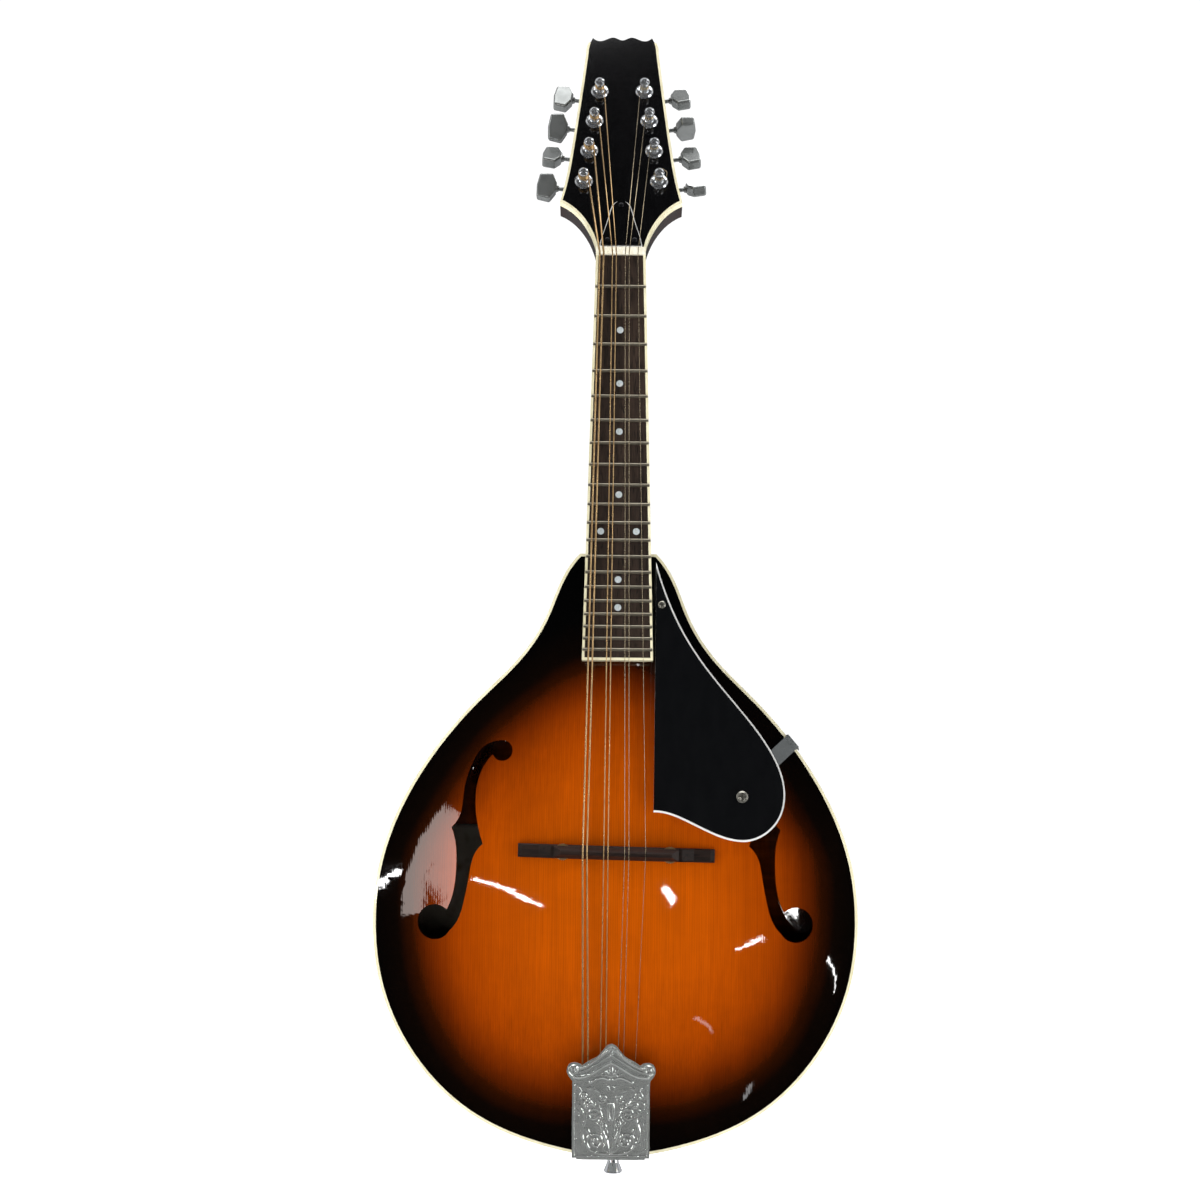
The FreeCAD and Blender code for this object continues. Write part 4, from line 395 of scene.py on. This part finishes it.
CHROME = srgb(226, 229, 232)
MATERIALS = {
    "top_wood": top_wood(),
    "back_wood": flamed_wood("maple_back", srgb(150, 68, 12), edge_colour=srgb(8, 3, 2)),
    "side_wood": flamed_wood("maple_side", srgb(38, 14, 7)),
    "neck_wood": flamed_wood("maple_neck", srgb(30, 12, 6)),
    "inner_wood": bare_wood(),
    "binding": plastic("cream_binding", srgb(238, 232, 200), srgb(222, 214, 176), 0.22, coat=0.5),
    "headstock_lacquer": plastic("black_lacquer", srgb(6, 6, 7), srgb(10, 10, 11), 0.12,
                                 coat=1.0, bump=0.02, shine=0.1),
    "board_wood": rosewood("rosewood_board", srgb(60, 46, 37), srgb(24, 18, 14), 0.50),
    "bridge_wood": rosewood("rosewood_bridge", srgb(44, 27, 19), srgb(20, 12, 9), 0.48),
    "pearl": pearl(),
    "fret_wire": metal("nickel_fret", srgb(176, 168, 150), 0.30, brush=(60, 900, 900)),
    "bone": plastic("bone_nut", srgb(240, 236, 220), srgb(226, 218, 190), 0.3, speckle=500.0),
    "steel": metal("bare_steel", srgb(168, 168, 170), 0.35),
    "brass_nut": metal("brass", srgb(214, 178, 96), 0.25),
    "black_ply": plastic("black_ply", srgb(6, 7, 9), srgb(9, 10, 12), 0.42,
                         bump=0.10, rub=0.04, shine=0.10),
    "white_ply": plastic("white_ply", srgb(250, 250, 247), srgb(240, 240, 236), 0.3),
    "plated_screw": metal("plated_screw", srgb(168, 166, 156), 0.24, metallic=0.85),
    "black_screw": metal("black_screw", srgb(34, 34, 37), 0.30),
    "tuner_plate": metal("plated_sheet", srgb(190, 192, 194), 0.18, brush=(300, 300, 1200)),
    "bushing": metal("polished_bushing", CHROME, 0.07),
    "tuner_button": metal("cast_chrome_button", srgb(148, 151, 150), 0.15,
                          spots=140.0, metallic=0.66),
    "tuner_post": metal("chrome_post", CHROME, 0.08),
    "bridge_metal": metal("plated_brass", srgb(158, 134, 98), 0.32),
    "tailpiece_metal": metal("plated_steel", srgb(206, 210, 206), 0.30,
                             brush=(900, 300, 300), metallic=0.76),
    "cover_chrome": metal("chrome_cover", srgb(220, 224, 220), 0.11, spots=90.0, metallic=0.80),
    "wound_string": wound_wire(),
    "plain_string": metal("plain_steel_string", srgb(196, 180, 150), 0.22, metallic=0.88),
}
SLOT_OF = {row["node"]: row["material_slot"] for row in frame["record"]["subparts"]}


def paint(obj, material):
    """Gives an object one finish in place of those it has."""
    obj.data.materials.clear()
    obj.data.materials.append(material)


for node, cad_object in NODES.items():
    paint(cad_object, MATERIALS[SLOT_OF[node]])
# three pieces that look different from the other pieces of their slot
paint(NODES["truss_rod_cover"], MATERIALS["headstock_lacquer"])
paint(NODES["strap_button"], MATERIALS["bushing"])
paint(NODES["pickguard_bracket"],
      metal("dull_plated_strip", srgb(138, 142, 142), 0.20, brush=(300, 300, 1200)))


# ---------------------------------------------------------------- mesh helpers

def new_piece(name, vertices, faces, slot, body=None):
    """A smooth-shaded mesh object in the row frame, in metres, riding on a body if one is given."""
    mesh = bpy.data.meshes.new(name)
    mesh.from_pydata([tuple(v) for v in vertices], [], faces)
    mesh.validate()
    mesh.update()
    obj = bpy.data.objects.new(name, mesh)
    bpy.context.scene.collection.objects.link(obj)
    mesh.materials.append(MATERIALS[slot])
    mesh.polygons.foreach_set("use_smooth", [True] * len(mesh.polygons))
    if body:
        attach(obj, body)
    return obj


def tube(path, radius, sides=10, closed=False):
    """Vertices and faces of a round tube along points, its frame carried along without twist."""
    count = len(path)
    vertices, faces = [], []
    side = None
    for index, point in enumerate(path):
        before = path[index - 1] if index or closed else path[0]
        after = path[(index + 1) % count] if index < count - 1 or closed else path[-1]
        direction = (after - before).normalized()
        if side is None:
            side = direction.orthogonal()
        side = (side - direction * side.dot(direction)).normalized()
        other = direction.cross(side)
        for step in range(sides):
            angle = 2 * math.pi * step / sides
            vertices.append(point + (side * math.cos(angle) + other * math.sin(angle)) * radius)
    for index in range(count if closed else count - 1):
        low, high = index * sides, ((index + 1) % count) * sides
        for step in range(sides):
            after = (step + 1) % sides
            faces.append((low + step, low + after, high + after, high + step))
    if not closed:
        faces.append(tuple(reversed(range(sides))))
        faces.append(tuple(range((count - 1) * sides, count * sides)))
    return vertices, faces


def join(*meshes):
    """Several vertex and face lists as one."""
    vertices, faces = [], []
    for some_vertices, some_faces in meshes:
        start = len(vertices)
        vertices += list(some_vertices)
        faces += [tuple(start + index for index in face) for face in some_faces]
    return vertices, faces


# ---------------------------------------------------------------- strings

# what the strings meet, as the CAD has it, in millimetres
STRINGS = {"g1": 0.97, "g2": 0.97, "d1": 0.61, "d2": 0.61, "a1": 0.36, "a2": 0.36, "e1": 0.28}
NUT_SPACINGS = (7.65, 2.35)
SADDLE_SPACINGS = (11.9, 2.4)
TAIL_SPACINGS = (9.65, 3.2)
NUT_SLOT_Y, NUT_BREAK_Z = -1.2, 186.8
SADDLE_CREST_Y, SADDLE_GROOVE = -47.4, 0.3
HOOK_ROWS = (31.0, 25.0)
HOOK_Y, HOOK_RADIUS = 9.6 - 4.4, 0.9
WAIST_RADIUS, WAIST_FOOT = 2.3, -4.4
CLEARANCE = 0.05

# how the drawn wire is made, in steps and turns
COIL_STEPS = 26
TURNS_ROUND_POST, THIN_TURNS, THIN_RADIUS = 3.0, 4.0, 0.2
LOCK_TURNS, LOCK_STEPS = 10, 120
LOCK_START, LOCK_REACH = 0.008, 0.055
RING_STEPS = 28
BEND_STEPS = 6


def spread(name, spacings):
    """A string's sideways place among the eight, from the spacings of the courses and in a pair."""
    course_spacing, pair_spacing = spacings
    return ("gdae".index(name[0]) - 1.5) * course_spacing + (int(name[1]) - 1.5) * pair_spacing


def string_slot(name):
    return "wound_string" if name[0] in "gd" else "plain_string"


def string_radius(name):
    """Half a string's diameter; the missing string left wire as thin as its neighbour's."""
    return STRINGS.get(name, min(STRINGS.values())) / 2


def wrap_radius(name):
    """Radius of a string's turns about its post, to the string's middle."""
    return WAIST_RADIUS + CLEARANCE + string_radius(name)


def wrap_height(name, turn=0.0):
    """Height of one of a string's turns along its post, the first next to the bushing."""
    radius = string_radius(name)
    return WAIST_FOOT - 0.1 - radius - 2.04 * radius * turn


def rounded(points, reach):
    """A polyline with its inner corners turned into short smooth bends."""
    path = [points[0]]
    for before, corner, after in zip(points, points[1:], points[2:]):
        start = corner + (before - corner).normalized() * reach
        end = corner + (after - corner).normalized() * reach
        for step in range(BEND_STEPS + 1):
            share = step / BEND_STEPS
            path.append(start * (1 - share) ** 2 + corner * 2 * share * (1 - share)
                        + end * share ** 2)
    return path + [points[-1]]


def straight(start, end, count):
    """Evenly spaced points from one point to another."""
    return [start.lerp(end, step / count) for step in range(count + 1)]


def ring(matrix, centre, radius, wire):
    """A round wire ring in a frame's XZ plane, in millimetres."""
    path = []
    for step in range(RING_STEPS):
        angle = 2 * math.pi * step / RING_STEPS
        path.append(at(matrix, centre[0] + radius * math.cos(angle), centre[1],
                       centre[2] + radius * math.sin(angle)))
    return tube(path, wire * MM, 8, closed=True)


def coil(name, turns):
    """A string's turns round its post, as one helix that ends in the post's hole."""
    matrix = post_frame(name)
    side = TUNERS[name][0]
    radius = wrap_radius(name)
    start = math.pi if side > 0 else 0.0
    path = []
    for step in range(int(turns * COIL_STEPS) + 1):
        turn = step / COIL_STEPS
        angle = start + side * 2 * math.pi * turn
        x, z = radius * math.cos(angle), radius * math.sin(angle)
        path.append(at(matrix, x, wrap_height(name, turn), z))
    last = path[-1] - at(matrix, 0, wrap_height(name, turns), 0)
    path.append(at(matrix, 0, wrap_height(name, turns) - 0.3, 0) + last * 0.62)
    return tube(path, string_radius(name) * MM, 8)


def lock(hook, saddle, radius):
    """The twist of wire that closes a string's loop, round the start of its run."""
    wire = radius * 0.55
    path = []
    for step in range(LOCK_STEPS + 1):
        share = step / LOCK_STEPS
        angle = share * 2 * math.pi * LOCK_TURNS
        out = (X_AXIS * math.cos(angle) + Y_AXIS * math.sin(angle)) * (radius + wire) * MM
        path.append(hook.lerp(saddle, LOCK_START + LOCK_REACH * share) + out)
    return tube(path, wire * MM, 6)


def make_string(name):
    """A string in three pieces: behind the saddle, in front of it, and its turns on the post."""
    radius = string_radius(name)
    slot = string_slot(name)
    side = TUNERS[name][0]
    hook_x, hook_z = spread(name, TAIL_SPACINGS), HOOK_ROWS[int(name[1]) - 1]
    loop = HOOK_RADIUS + CLEARANCE + radius
    hook = at(COVER, hook_x, HOOK_Y, hook_z + loop)
    saddle = at(BRIDGE, spread(name, SADDLE_SPACINGS), SADDLE_CREST_Y + SADDLE_GROOVE - radius, 0)
    nut = at(NECK, spread(name, NUT_SPACINGS), NUT_SLOT_Y - radius, NUT_BREAK_Z)
    post = at(post_frame(name), -side * wrap_radius(name), wrap_height(name), 0)
    nut_side = saddle + (nut - saddle).normalized() * 0.0018
    tail_side = saddle + (hook - saddle).normalized() * 0.0018
    bend = rounded([tail_side, saddle, nut_side], 0.0017)
    middle = len(bend) // 2

    tail_path = straight(hook, tail_side, 40)[:-1] + bend[:middle + 1]
    eye = ring(COVER, (hook_x, HOOK_Y, hook_z), loop, radius)
    tail_mesh = join(tube(tail_path, radius * MM), eye, lock(hook, saddle, radius))
    tail = new_piece(f"string_{name}_tail", *tail_mesh, slot)
    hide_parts(f"strings_{name[0]}")
    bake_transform(tail)

    bent_nut = rounded([nut_side, nut, post], 0.0012)
    front_path = bend[middle:] + straight(bend[-1], bent_nut[1], 60)[1:] + bent_nut[2:]
    front = new_piece(f"string_{name}_front", *tube(front_path, radius * MM), slot)
    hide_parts(f"strings_{name[0]}")
    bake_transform(front)

    turns = THIN_TURNS if radius < THIN_RADIUS else TURNS_ROUND_POST
    wound = new_piece(f"string_{name}_turns", *coil(name, turns), slot, f"post_{name}")
    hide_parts(f"strings_{name[0]}")


def make_strings():
    """The seven strings, and the wire that the missing eighth left on its post."""
    for name in STRINGS:
        make_string(name)
    loose = ring(post_frame("e2"), (0.9, -6.8, 0.8), WAIST_RADIUS + 1.6, string_radius("e2"))
    left = join(coil("e2", TURNS_ROUND_POST), loose)
    leftover = new_piece("string_e2_leftover", *left, "plain_string", "post_e2")
    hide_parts("strings_e")


make_strings()


# ---------------------------------------------------------------- tailpiece relief

# the cover's straight length and half width in millimetres, and the steps in a spiral's turn and
# in a span between corner points
COVER_LENGTH = 43.6
COVER_HALF = 22.0
SPIRAL_STEPS, SWEEP_STEPS = 64, 25


def spiral(centre, outer, inner, turns, start, hand=1):
    """Points of a flat spiral in millimetres, from its outer end inward."""
    count = int(turns * SPIRAL_STEPS)
    points = []
    for step in range(count + 1):
        share = step / count
        radius = outer + (inner - outer) * share ** 0.8
        angle = math.radians(start) + hand * 2 * math.pi * turns * share
        points.append((centre[0] + radius * math.cos(angle), centre[1] + radius * math.sin(angle)))
    return points


def sweep(corners):
    """A smooth run near corner points, as a uniform B-spline with its ends held."""
    held = [corners[0]] * 2 + list(corners) + [corners[-1]] * 2
    points = []
    for index in range(len(held) - 3):
        for step in range(SWEEP_STEPS):
            t = step / SWEEP_STEPS
            weights = ((1 - t) ** 3 / 6, (3 * t ** 3 - 6 * t * t + 4) / 6,
                       (-3 * t ** 3 + 3 * t * t + 3 * t + 1) / 6, t ** 3 / 6)
            points.append(tuple(sum(w * held[index + k][axis] for k, w in enumerate(weights))
                                for axis in (0, 1)))
    return points


def relief_lines():
    """The embossed lines of the cover's right half: (points, half width, height) in millimetres."""
    crown = COVER_LENGTH
    return (
        (spiral((8.6, 9.8), 6.2, 1.0, 1.7, -100), 0.55, 0.42),
        (spiral((9.6, 24.6), 4.9, 0.9, 1.6, 250, -1), 0.5, 0.38),
        (spiral((15.4, 35.2), 3.3, 0.7, 1.4, 200), 0.45, 0.34),
        (spiral((4.8, 34.2), 2.9, 0.6, 1.3, -30, -1), 0.45, 0.32),
        (sweep([(0.6, 2.2), (5.0, 2.6), (8.4, 3.2)]), 0.7, 0.45),
        (sweep([(1.2, 3.5), (2.2, 11.0), (5.6, 17.0), (4.8, 21.0)]), 0.8, 0.50),
        (sweep([(14.6, 8.0), (17.2, 14.5), (14.4, 20.5), (14.2, 25.0)]), 0.65, 0.42),
        (sweep([(6.0, 28.0), (11.0, 31.0), (12.6, 33.6)]), 0.6, 0.42),
        (sweep([(18.2, 4.0), (19.2, 12.0), (17.6, 20.0), (19.0, 28.0), (18.2, 32.0)]), 0.5, 0.35),
        (sweep([(0.9, 22.0), (1.8, 28.0), (0.9, 31.0)]), 0.6, 0.45),
        (spiral((21.3, crown + 6.2), 3.3, 0.7, 1.5, -70), 0.75, 0.70),
        (sweep([(21.0, crown + 2.6), (15.5, crown + 2.4), (10.0, crown + 5.2), (4.5, crown + 9.0),
                (0.0, crown + 11.0)]), 0.8, 0.65),
        (sweep([(17.4, crown + 7.4), (12.5, crown + 9.4), (7.0, crown + 13.6), (3.0, crown + 17.2),
                (0.0, crown + 19.2)]), 0.65, 0.60),
        (sweep([(18.6, crown + 5.0), (13.5, crown + 6.6), (8.0, crown + 10.2),
                (0.0, crown + 15.2)]), 0.5, 0.35),
        (sweep([(1.2, crown + 1.0), (4.6, crown + 2.8), (8.6, crown + 1.4),
                (12.0, crown - 0.6)]), 0.6, 0.45),
        (sweep([(20.8, 1.3), (20.8, 14.0), (20.8, 28.0), (20.8, 41.5)]), 0.4, 0.5),
        (sweep([(20.8, 1.3), (10.0, 1.3), (0.0, 1.3)]), 0.4, 0.4),
        (spiral((4.2, 17.4), 2.2, 0.5, 1.2, 40), 0.45, 0.40),
        (spiral((13.6, 29.8), 2.0, 0.5, 1.2, 160, -1), 0.45, 0.38),
    )


def relief_leaves():
    """Almond-shaped leaves: (x, z, half length, half width, angle, height)."""
    crown = COVER_LENGTH
    return (
        (12.8, 15.2, 2.6, 0.9, 65, 0.45), (5.2, 22.8, 2.2, 0.8, 120, 0.42),
        (16.4, 26.4, 2.4, 0.8, 80, 0.42), (3.2, 5.8, 2.2, 0.9, 70, 0.5),
        (7.6, 38.6, 2.6, 0.9, 20, 0.42), (12.4, 39.6, 2.2, 0.8, -25, 0.42),
        (17.8, 39.2, 1.8, 0.8, 60, 0.4), (2.4, 14.6, 2.4, 0.8, 80, 0.42),
        (14.2, 3.2, 2.2, 0.8, 0, 0.4), (21.3, crown + 6.2, 1.1, 1.1, 0, 0.7),
        (1.6, 39.6, 2.4, 0.8, 75, 0.5), (0.0, crown + 5.2, 3.4, 1.3, 90, 0.75),
        (2.4, crown + 4.6, 2.8, 0.8, 58, 0.6), (4.4, crown + 3.6, 2.2, 0.7, 30, 0.5),
        (0.0, crown + 16.4, 1.4, 0.9, 90, 0.4),
    )


def leaf_fringe(points, every, reach, size, height):
    """Small leaves that stand off a curved stem, on one side and then the other."""
    rows = []
    for number, index in enumerate(range(every, len(points) - 2, every)):
        (x, z), (next_x, next_z) = points[index], points[index + 1]
        stem = math.degrees(math.atan2(next_z - z, next_x - x))
        turn = stem + (52 if number % 2 else -52)
        leaf_x = x + reach * math.cos(math.radians(turn))
        leaf_z = z + reach * math.sin(math.radians(turn))
        rows.append((leaf_x, leaf_z, size, size * 0.36, turn, height))
    return rows


def inside_cover(x, z):
    """Whether a point lies on the cover's front, a little in from its edge."""
    crown = COVER_LENGTH
    side = abs(x)
    if 0.7 < z < crown + 1.0 and side < COVER_HALF - 0.7:
        return True
    if (side - 21.2) ** 2 + (z - crown - 6.2) ** 2 < 3.6 ** 2:
        return True
    heights = ((0.0, 20.3), (2.6, 19.2), (7.0, 14.2), (12.5, 10.6), (16.4, 8.2), (22.0, 8.0))
    for (low_x, low_z), (high_x, high_z) in zip(heights, heights[1:]):
        if low_x <= side < high_x:
            rise = low_z + (high_z - low_z) * (side - low_x) / (high_x - low_x)
            return crown < z < crown + rise
    return False


def relief_height(x, z, runs, leaves):
    """Height of the embossing over the sheet at a point, in millimetres."""
    side = abs(x)
    height = 0.0
    for points, half, tall in runs:
        nearest = min((side - a) ** 2 + (z - b) ** 2 for a, b in points)
        if nearest < (half * 1.9) ** 2:
            height = max(height, tall * math.exp(-nearest / (half * half) * 1.1))
    for a, b, long, wide, angle, tall in leaves:
        turn = math.radians(angle)
        along = ((side - a) * math.cos(turn) + (z - b) * math.sin(turn)) / long
        across = ((z - b) * math.cos(turn) - (side - a) * math.sin(turn)) / wide
        reach = along * along + across * across
        if reach < 1:
            vein = 0.25 * math.exp(-(across * 4) ** 2)
            height = max(height, tall * (1 - reach) ** 0.6 - vein)
    return height


# a run's number in relief_lines, the steps from leaf to leaf, and a leaf's reach, size and height
FRINGES = (
    (0, 12, 1.5, 1.3, 0.42), (1, 12, 1.4, 1.2, 0.40), (5, 12, 1.6, 1.5, 0.44),
    (6, 14, 1.5, 1.4, 0.40), (7, 10, 1.3, 1.2, 0.38), (8, 14, 1.3, 1.1, 0.34),
    (2, 12, 1.2, 1.0, 0.36),
)
# the grid's step and size, the sheet's height, how much the relief is raised, and its closed back
RELIEF_STEP = 0.34
RELIEF_WIDTH, RELIEF_LENGTH = 52, 66
RELIEF_FOOT, RELIEF_GAIN, RELIEF_BACK = 0.10, 1.65, 0.5
SHEET_ROUGHNESS, SHEET_ROUGHNESS_SCALE = 0.006, 1.3


def relief_grid():
    """Points of the embossed front on a square grid, and the index of each by column and row."""
    runs, leaves = relief_lines(), list(relief_leaves())
    for run, every, reach, size, height in FRINGES:
        leaves += leaf_fringe(runs[run][0], every, reach, size, height)
    columns, rows = int(RELIEF_WIDTH / RELIEF_STEP), int(RELIEF_LENGTH / RELIEF_STEP)
    columns += columns % 2
    index, points = {}, []
    for row in range(rows + 1):
        for column in range(columns + 1):
            x, z = (column - columns / 2) * RELIEF_STEP, row * RELIEF_STEP
            if inside_cover(x, z):
                index[(column, row)] = len(points)
                rough = SHEET_ROUGHNESS * noise.noise(Vector((x, z, 3.0)) * SHEET_ROUGHNESS_SCALE)
                height = relief_height(x, z, runs, leaves) + rough
                points.append(at(COVER, x, RELIEF_FOOT - RELIEF_GAIN * height, z))
    return index, points


def make_relief():
    """The cover's stamped leaves and scrolls, raised from the sheet's front and closed behind."""
    index, points = relief_grid()
    quads = []
    for column, row in index:
        corners = [(column, row), (column + 1, row), (column + 1, row + 1), (column, row + 1)]
        if all(corner in index for corner in corners):
            quads.append(tuple(index[corner] for corner in corners))
    used = sorted({i for quad in quads for i in quad})
    number = {old: new for new, old in enumerate(used)}
    front = [points[i] for i in used]
    faces = [tuple(number[i] for i in quad) for quad in quads]
    count = len(front)
    to_cover = COVER.inverted()
    back = []
    for point in front:
        local = to_cover @ point
        back.append(COVER @ Vector((local.x, RELIEF_BACK * MM, local.z)))
    edges = {pair: True for face in faces for pair in zip(face, face[1:] + face[:1])}
    walls = [(b, a, a + count, b + count) for a, b in edges if (b, a) not in edges]
    backs = [tuple(i + count for i in reversed(face)) for face in faces]
    new_piece("tailpiece_relief", front + back, faces + walls + backs, "cover_chrome", "tail_cover")


make_relief()


# ---------------------------------------------------------------- label inside the body

# the label's lower left corner, size and mesh, and the arch of the back that it lies on
LABEL_CORNER, LABEL_SIZE = (-118.0, 128.0), (66.0, 72.0)
LABEL_COLUMNS, LABEL_ROWS = 24, 24
ARCH_HALF_WIDTH, ARCH_HALF_LENGTH, ARCH_MIDDLE = 138.0, 160.0, 165.0
ARCH_EDGE_Y, ARCH_RISE, LABEL_LIFT = 17.0, 11.0, 1.5


def make_label():
    """A blank paper label inside the back, seen through the bass f-hole."""
    vertices, faces = [], []
    for row in range(LABEL_ROWS + 1):
        for column in range(LABEL_COLUMNS + 1):
            x = LABEL_CORNER[0] + LABEL_SIZE[0] * column / LABEL_COLUMNS
            z = LABEL_CORNER[1] + LABEL_SIZE[1] * row / LABEL_ROWS
            reach = min(1.0, math.hypot(x / ARCH_HALF_WIDTH, (z - ARCH_MIDDLE) / ARCH_HALF_LENGTH))
            y = ARCH_EDGE_Y + ARCH_RISE * (1 - reach ** 3) ** 2 - LABEL_LIFT
            vertices.append(Vector((x, y, z)) * MM)
    for row in range(LABEL_ROWS):
        for column in range(LABEL_COLUMNS):
            corner = row * (LABEL_COLUMNS + 1) + column
            above = corner + LABEL_COLUMNS + 1
            faces.append((corner, corner + 1, above + 1, above))
    label = new_piece("paper_label", vertices, faces, "inner_wood", "instrument")
    paint(label, paper())
    label.modifiers.new("thickness", "SOLIDIFY").thickness = 0.0002


make_label()


# ---------------------------------------------------------------- stage, light and camera

FLOOR_HALF, FLOOR_LEVEL = 9.0, -0.32


def make_floor():
    """A plain pale floor well below the instrument."""
    mesh = bpy.data.meshes.new("floor")
    corners = [(x * FLOOR_HALF, y * FLOOR_HALF, FLOOR_LEVEL)
               for x, y in ((-1, -1), (1, -1), (1, 1), (-1, 1))]
    mesh.from_pydata(corners, [], [(0, 1, 2, 3)])
    floor = bpy.data.objects.new("floor", mesh)
    bpy.context.scene.collection.objects.link(floor)
    graph = Graph("floor_paint", Roughness=0.9, Emission_Strength=0.75)
    graph.set("Base Color", (0.9, 0.9, 0.9, 1.0))
    graph.set("Emission Color", (1.0, 1.0, 1.0, 1.0))
    mesh.materials.append(graph.material)
    floor.visible_glossy = False


BACKDROP_STRENGTH = 1.05
# the room's tones as reflections see them, by position from in front (0) to behind (1)
ROOM_TONES = (
    (0.26, (0.016, 0.016, 0.017, 1)), (0.58, (0.60, 0.60, 0.61, 1)),
    (0.86, (0.55, 0.55, 0.56, 1)), (0.97, (0.10, 0.10, 0.105, 1)),
)


def make_world():
    """White behind the instrument; reflections see a room dim in front, light at the sides and
    behind, and dim again straight behind."""
    world = bpy.data.worlds.new("studio")
    bpy.context.scene.world = world
    world.use_nodes = True
    tree = world.node_tree
    tree.nodes.clear()
    output = tree.nodes.new("ShaderNodeOutputWorld")
    seen = tree.nodes.new("ShaderNodeBackground")
    seen.inputs["Color"].default_value = (1, 1, 1, 1)
    seen.inputs["Strength"].default_value = BACKDROP_STRENGTH
    room = tree.nodes.new("ShaderNodeBackground")
    room.inputs["Strength"].default_value = 1.0
    mixer = tree.nodes.new("ShaderNodeMixShader")
    rays = tree.nodes.new("ShaderNodeLightPath")
    coords = tree.nodes.new("ShaderNodeTexCoord")
    split = tree.nodes.new("ShaderNodeSeparateXYZ")
    ramp = tree.nodes.new("ShaderNodeValToRGB")
    shift = tree.nodes.new("ShaderNodeMapRange")
    shift.inputs["From Min"].default_value = -1.0
    shift.inputs["From Max"].default_value = 1.0
    stops = ramp.color_ramp.elements
    for number, (position, tone) in enumerate(ROOM_TONES):
        stop = stops[number] if number < len(stops) else stops.new(position)
        stop.position, stop.color = position, tone
    link = tree.links.new
    link(coords.outputs["Generated"], split.inputs[0])
    link(split.outputs[1], shift.inputs["Value"])
    link(shift.outputs[0], ramp.inputs[0])
    link(ramp.outputs[0], room.inputs["Color"])
    link(rays.outputs["Is Camera Ray"], mixer.inputs[0])
    link(room.outputs[0], mixer.inputs[1])
    link(seen.outputs[0], mixer.inputs[2])
    link(mixer.outputs[0], output.inputs[0])


def soft_light(name, location, target, width, height, watts, tint=(1, 1, 1), roll=0.0):
    """A rectangular light aimed at a point; the camera doesn't see it, reflections do."""
    data = bpy.data.lights.new(name, "AREA")
    data.shape = "RECTANGLE"
    data.size, data.size_y = width, height
    data.energy = watts
    data.color = tint
    light = bpy.data.objects.new(name, data)
    light.location = location
    aim = (Vector(target) - Vector(location)).to_track_quat("-Z", "Y").to_matrix()
    light.rotation_euler = (aim @ Matrix.Rotation(math.radians(roll), 3, "Z")).to_euler()
    light.visible_camera = False
    bpy.context.scene.collection.objects.link(light)
    return light


# the camera matched to the photograph: lens in millimetres, place in metres, and its axes
LENS, SENSOR_WIDTH = 54.79, 36.0
CAMERA_PLACE = (-0.00165, -1.0905, 0.2293)
CAMERA_RIGHT = Vector((0.99993, 0.00737, 0.00948))
CAMERA_UP = Vector((-0.00873, -0.09621, 0.99532))
CAMERA_FORWARD = Vector((-0.00825, 0.99533, 0.09614))


def make_camera():
    """The photograph's viewing angle: in front, just above the bridge and looking a little up."""
    data = bpy.data.cameras.new("camera")
    data.sensor_width = SENSOR_WIDTH
    data.lens = LENS
    data.clip_start, data.clip_end = 0.05, 60.0
    camera = bpy.data.objects.new("camera", data)
    turn = Matrix((CAMERA_RIGHT, CAMERA_UP, -CAMERA_FORWARD)).transposed().to_4x4()
    camera.matrix_world = Matrix.Translation(CAMERA_PLACE) @ turn
    bpy.context.scene.collection.objects.link(camera)
    bpy.context.scene.camera = camera


# what the lights aim at: the instrument's middle, and the lower arch of its top
MIDDLE = (0.0, 0.0, 0.30)
ARCH = (0.0, -0.03, 0.15)

make_floor()
make_world()
soft_light("key", (-2.0, -1.2, 0.8), MIDDLE, 1.3, 2.0, 27).visible_glossy = False
soft_light("strip", (-1.9, -1.35, 0.7), MIDDLE, 0.22, 1.7, 7.0)
soft_light("fill", (2.1, -1.2, 0.5), MIDDLE, 1.3, 2.0, 26)
soft_light("overhead", (0.1, -0.35, 2.3), MIDDLE, 2.2, 0.9, 20)
soft_light("behind", (0.5, 1.5, 2.0), MIDDLE, 1.6, 1.0, 24)
# small lights that the lacquer mirrors as streaks and patches
soft_light("long_tube", (-0.52, -1.96, 0.075), ARCH, 0.50, 0.014, 1.10, roll=-16)
soft_light("near_lamp", (0.19, -2.02, 0.04), ARCH, 0.060, 0.030, 0.30, roll=-52)
soft_light("side_tube", (0.68, -1.91, -0.16), ARCH, 0.19, 0.012, 0.26, roll=22)
soft_light("low_tube", (0.42, -1.88, -0.57), ARCH, 0.12, 0.018, 0.034, roll=-34)
soft_light("window", (-0.855, -1.87, 0.23), ARCH, 0.095, 0.48, 0.85, tint=(1.0, 0.86, 0.80))
make_camera()
bpy.context.scene.view_settings.view_transform = "Standard"
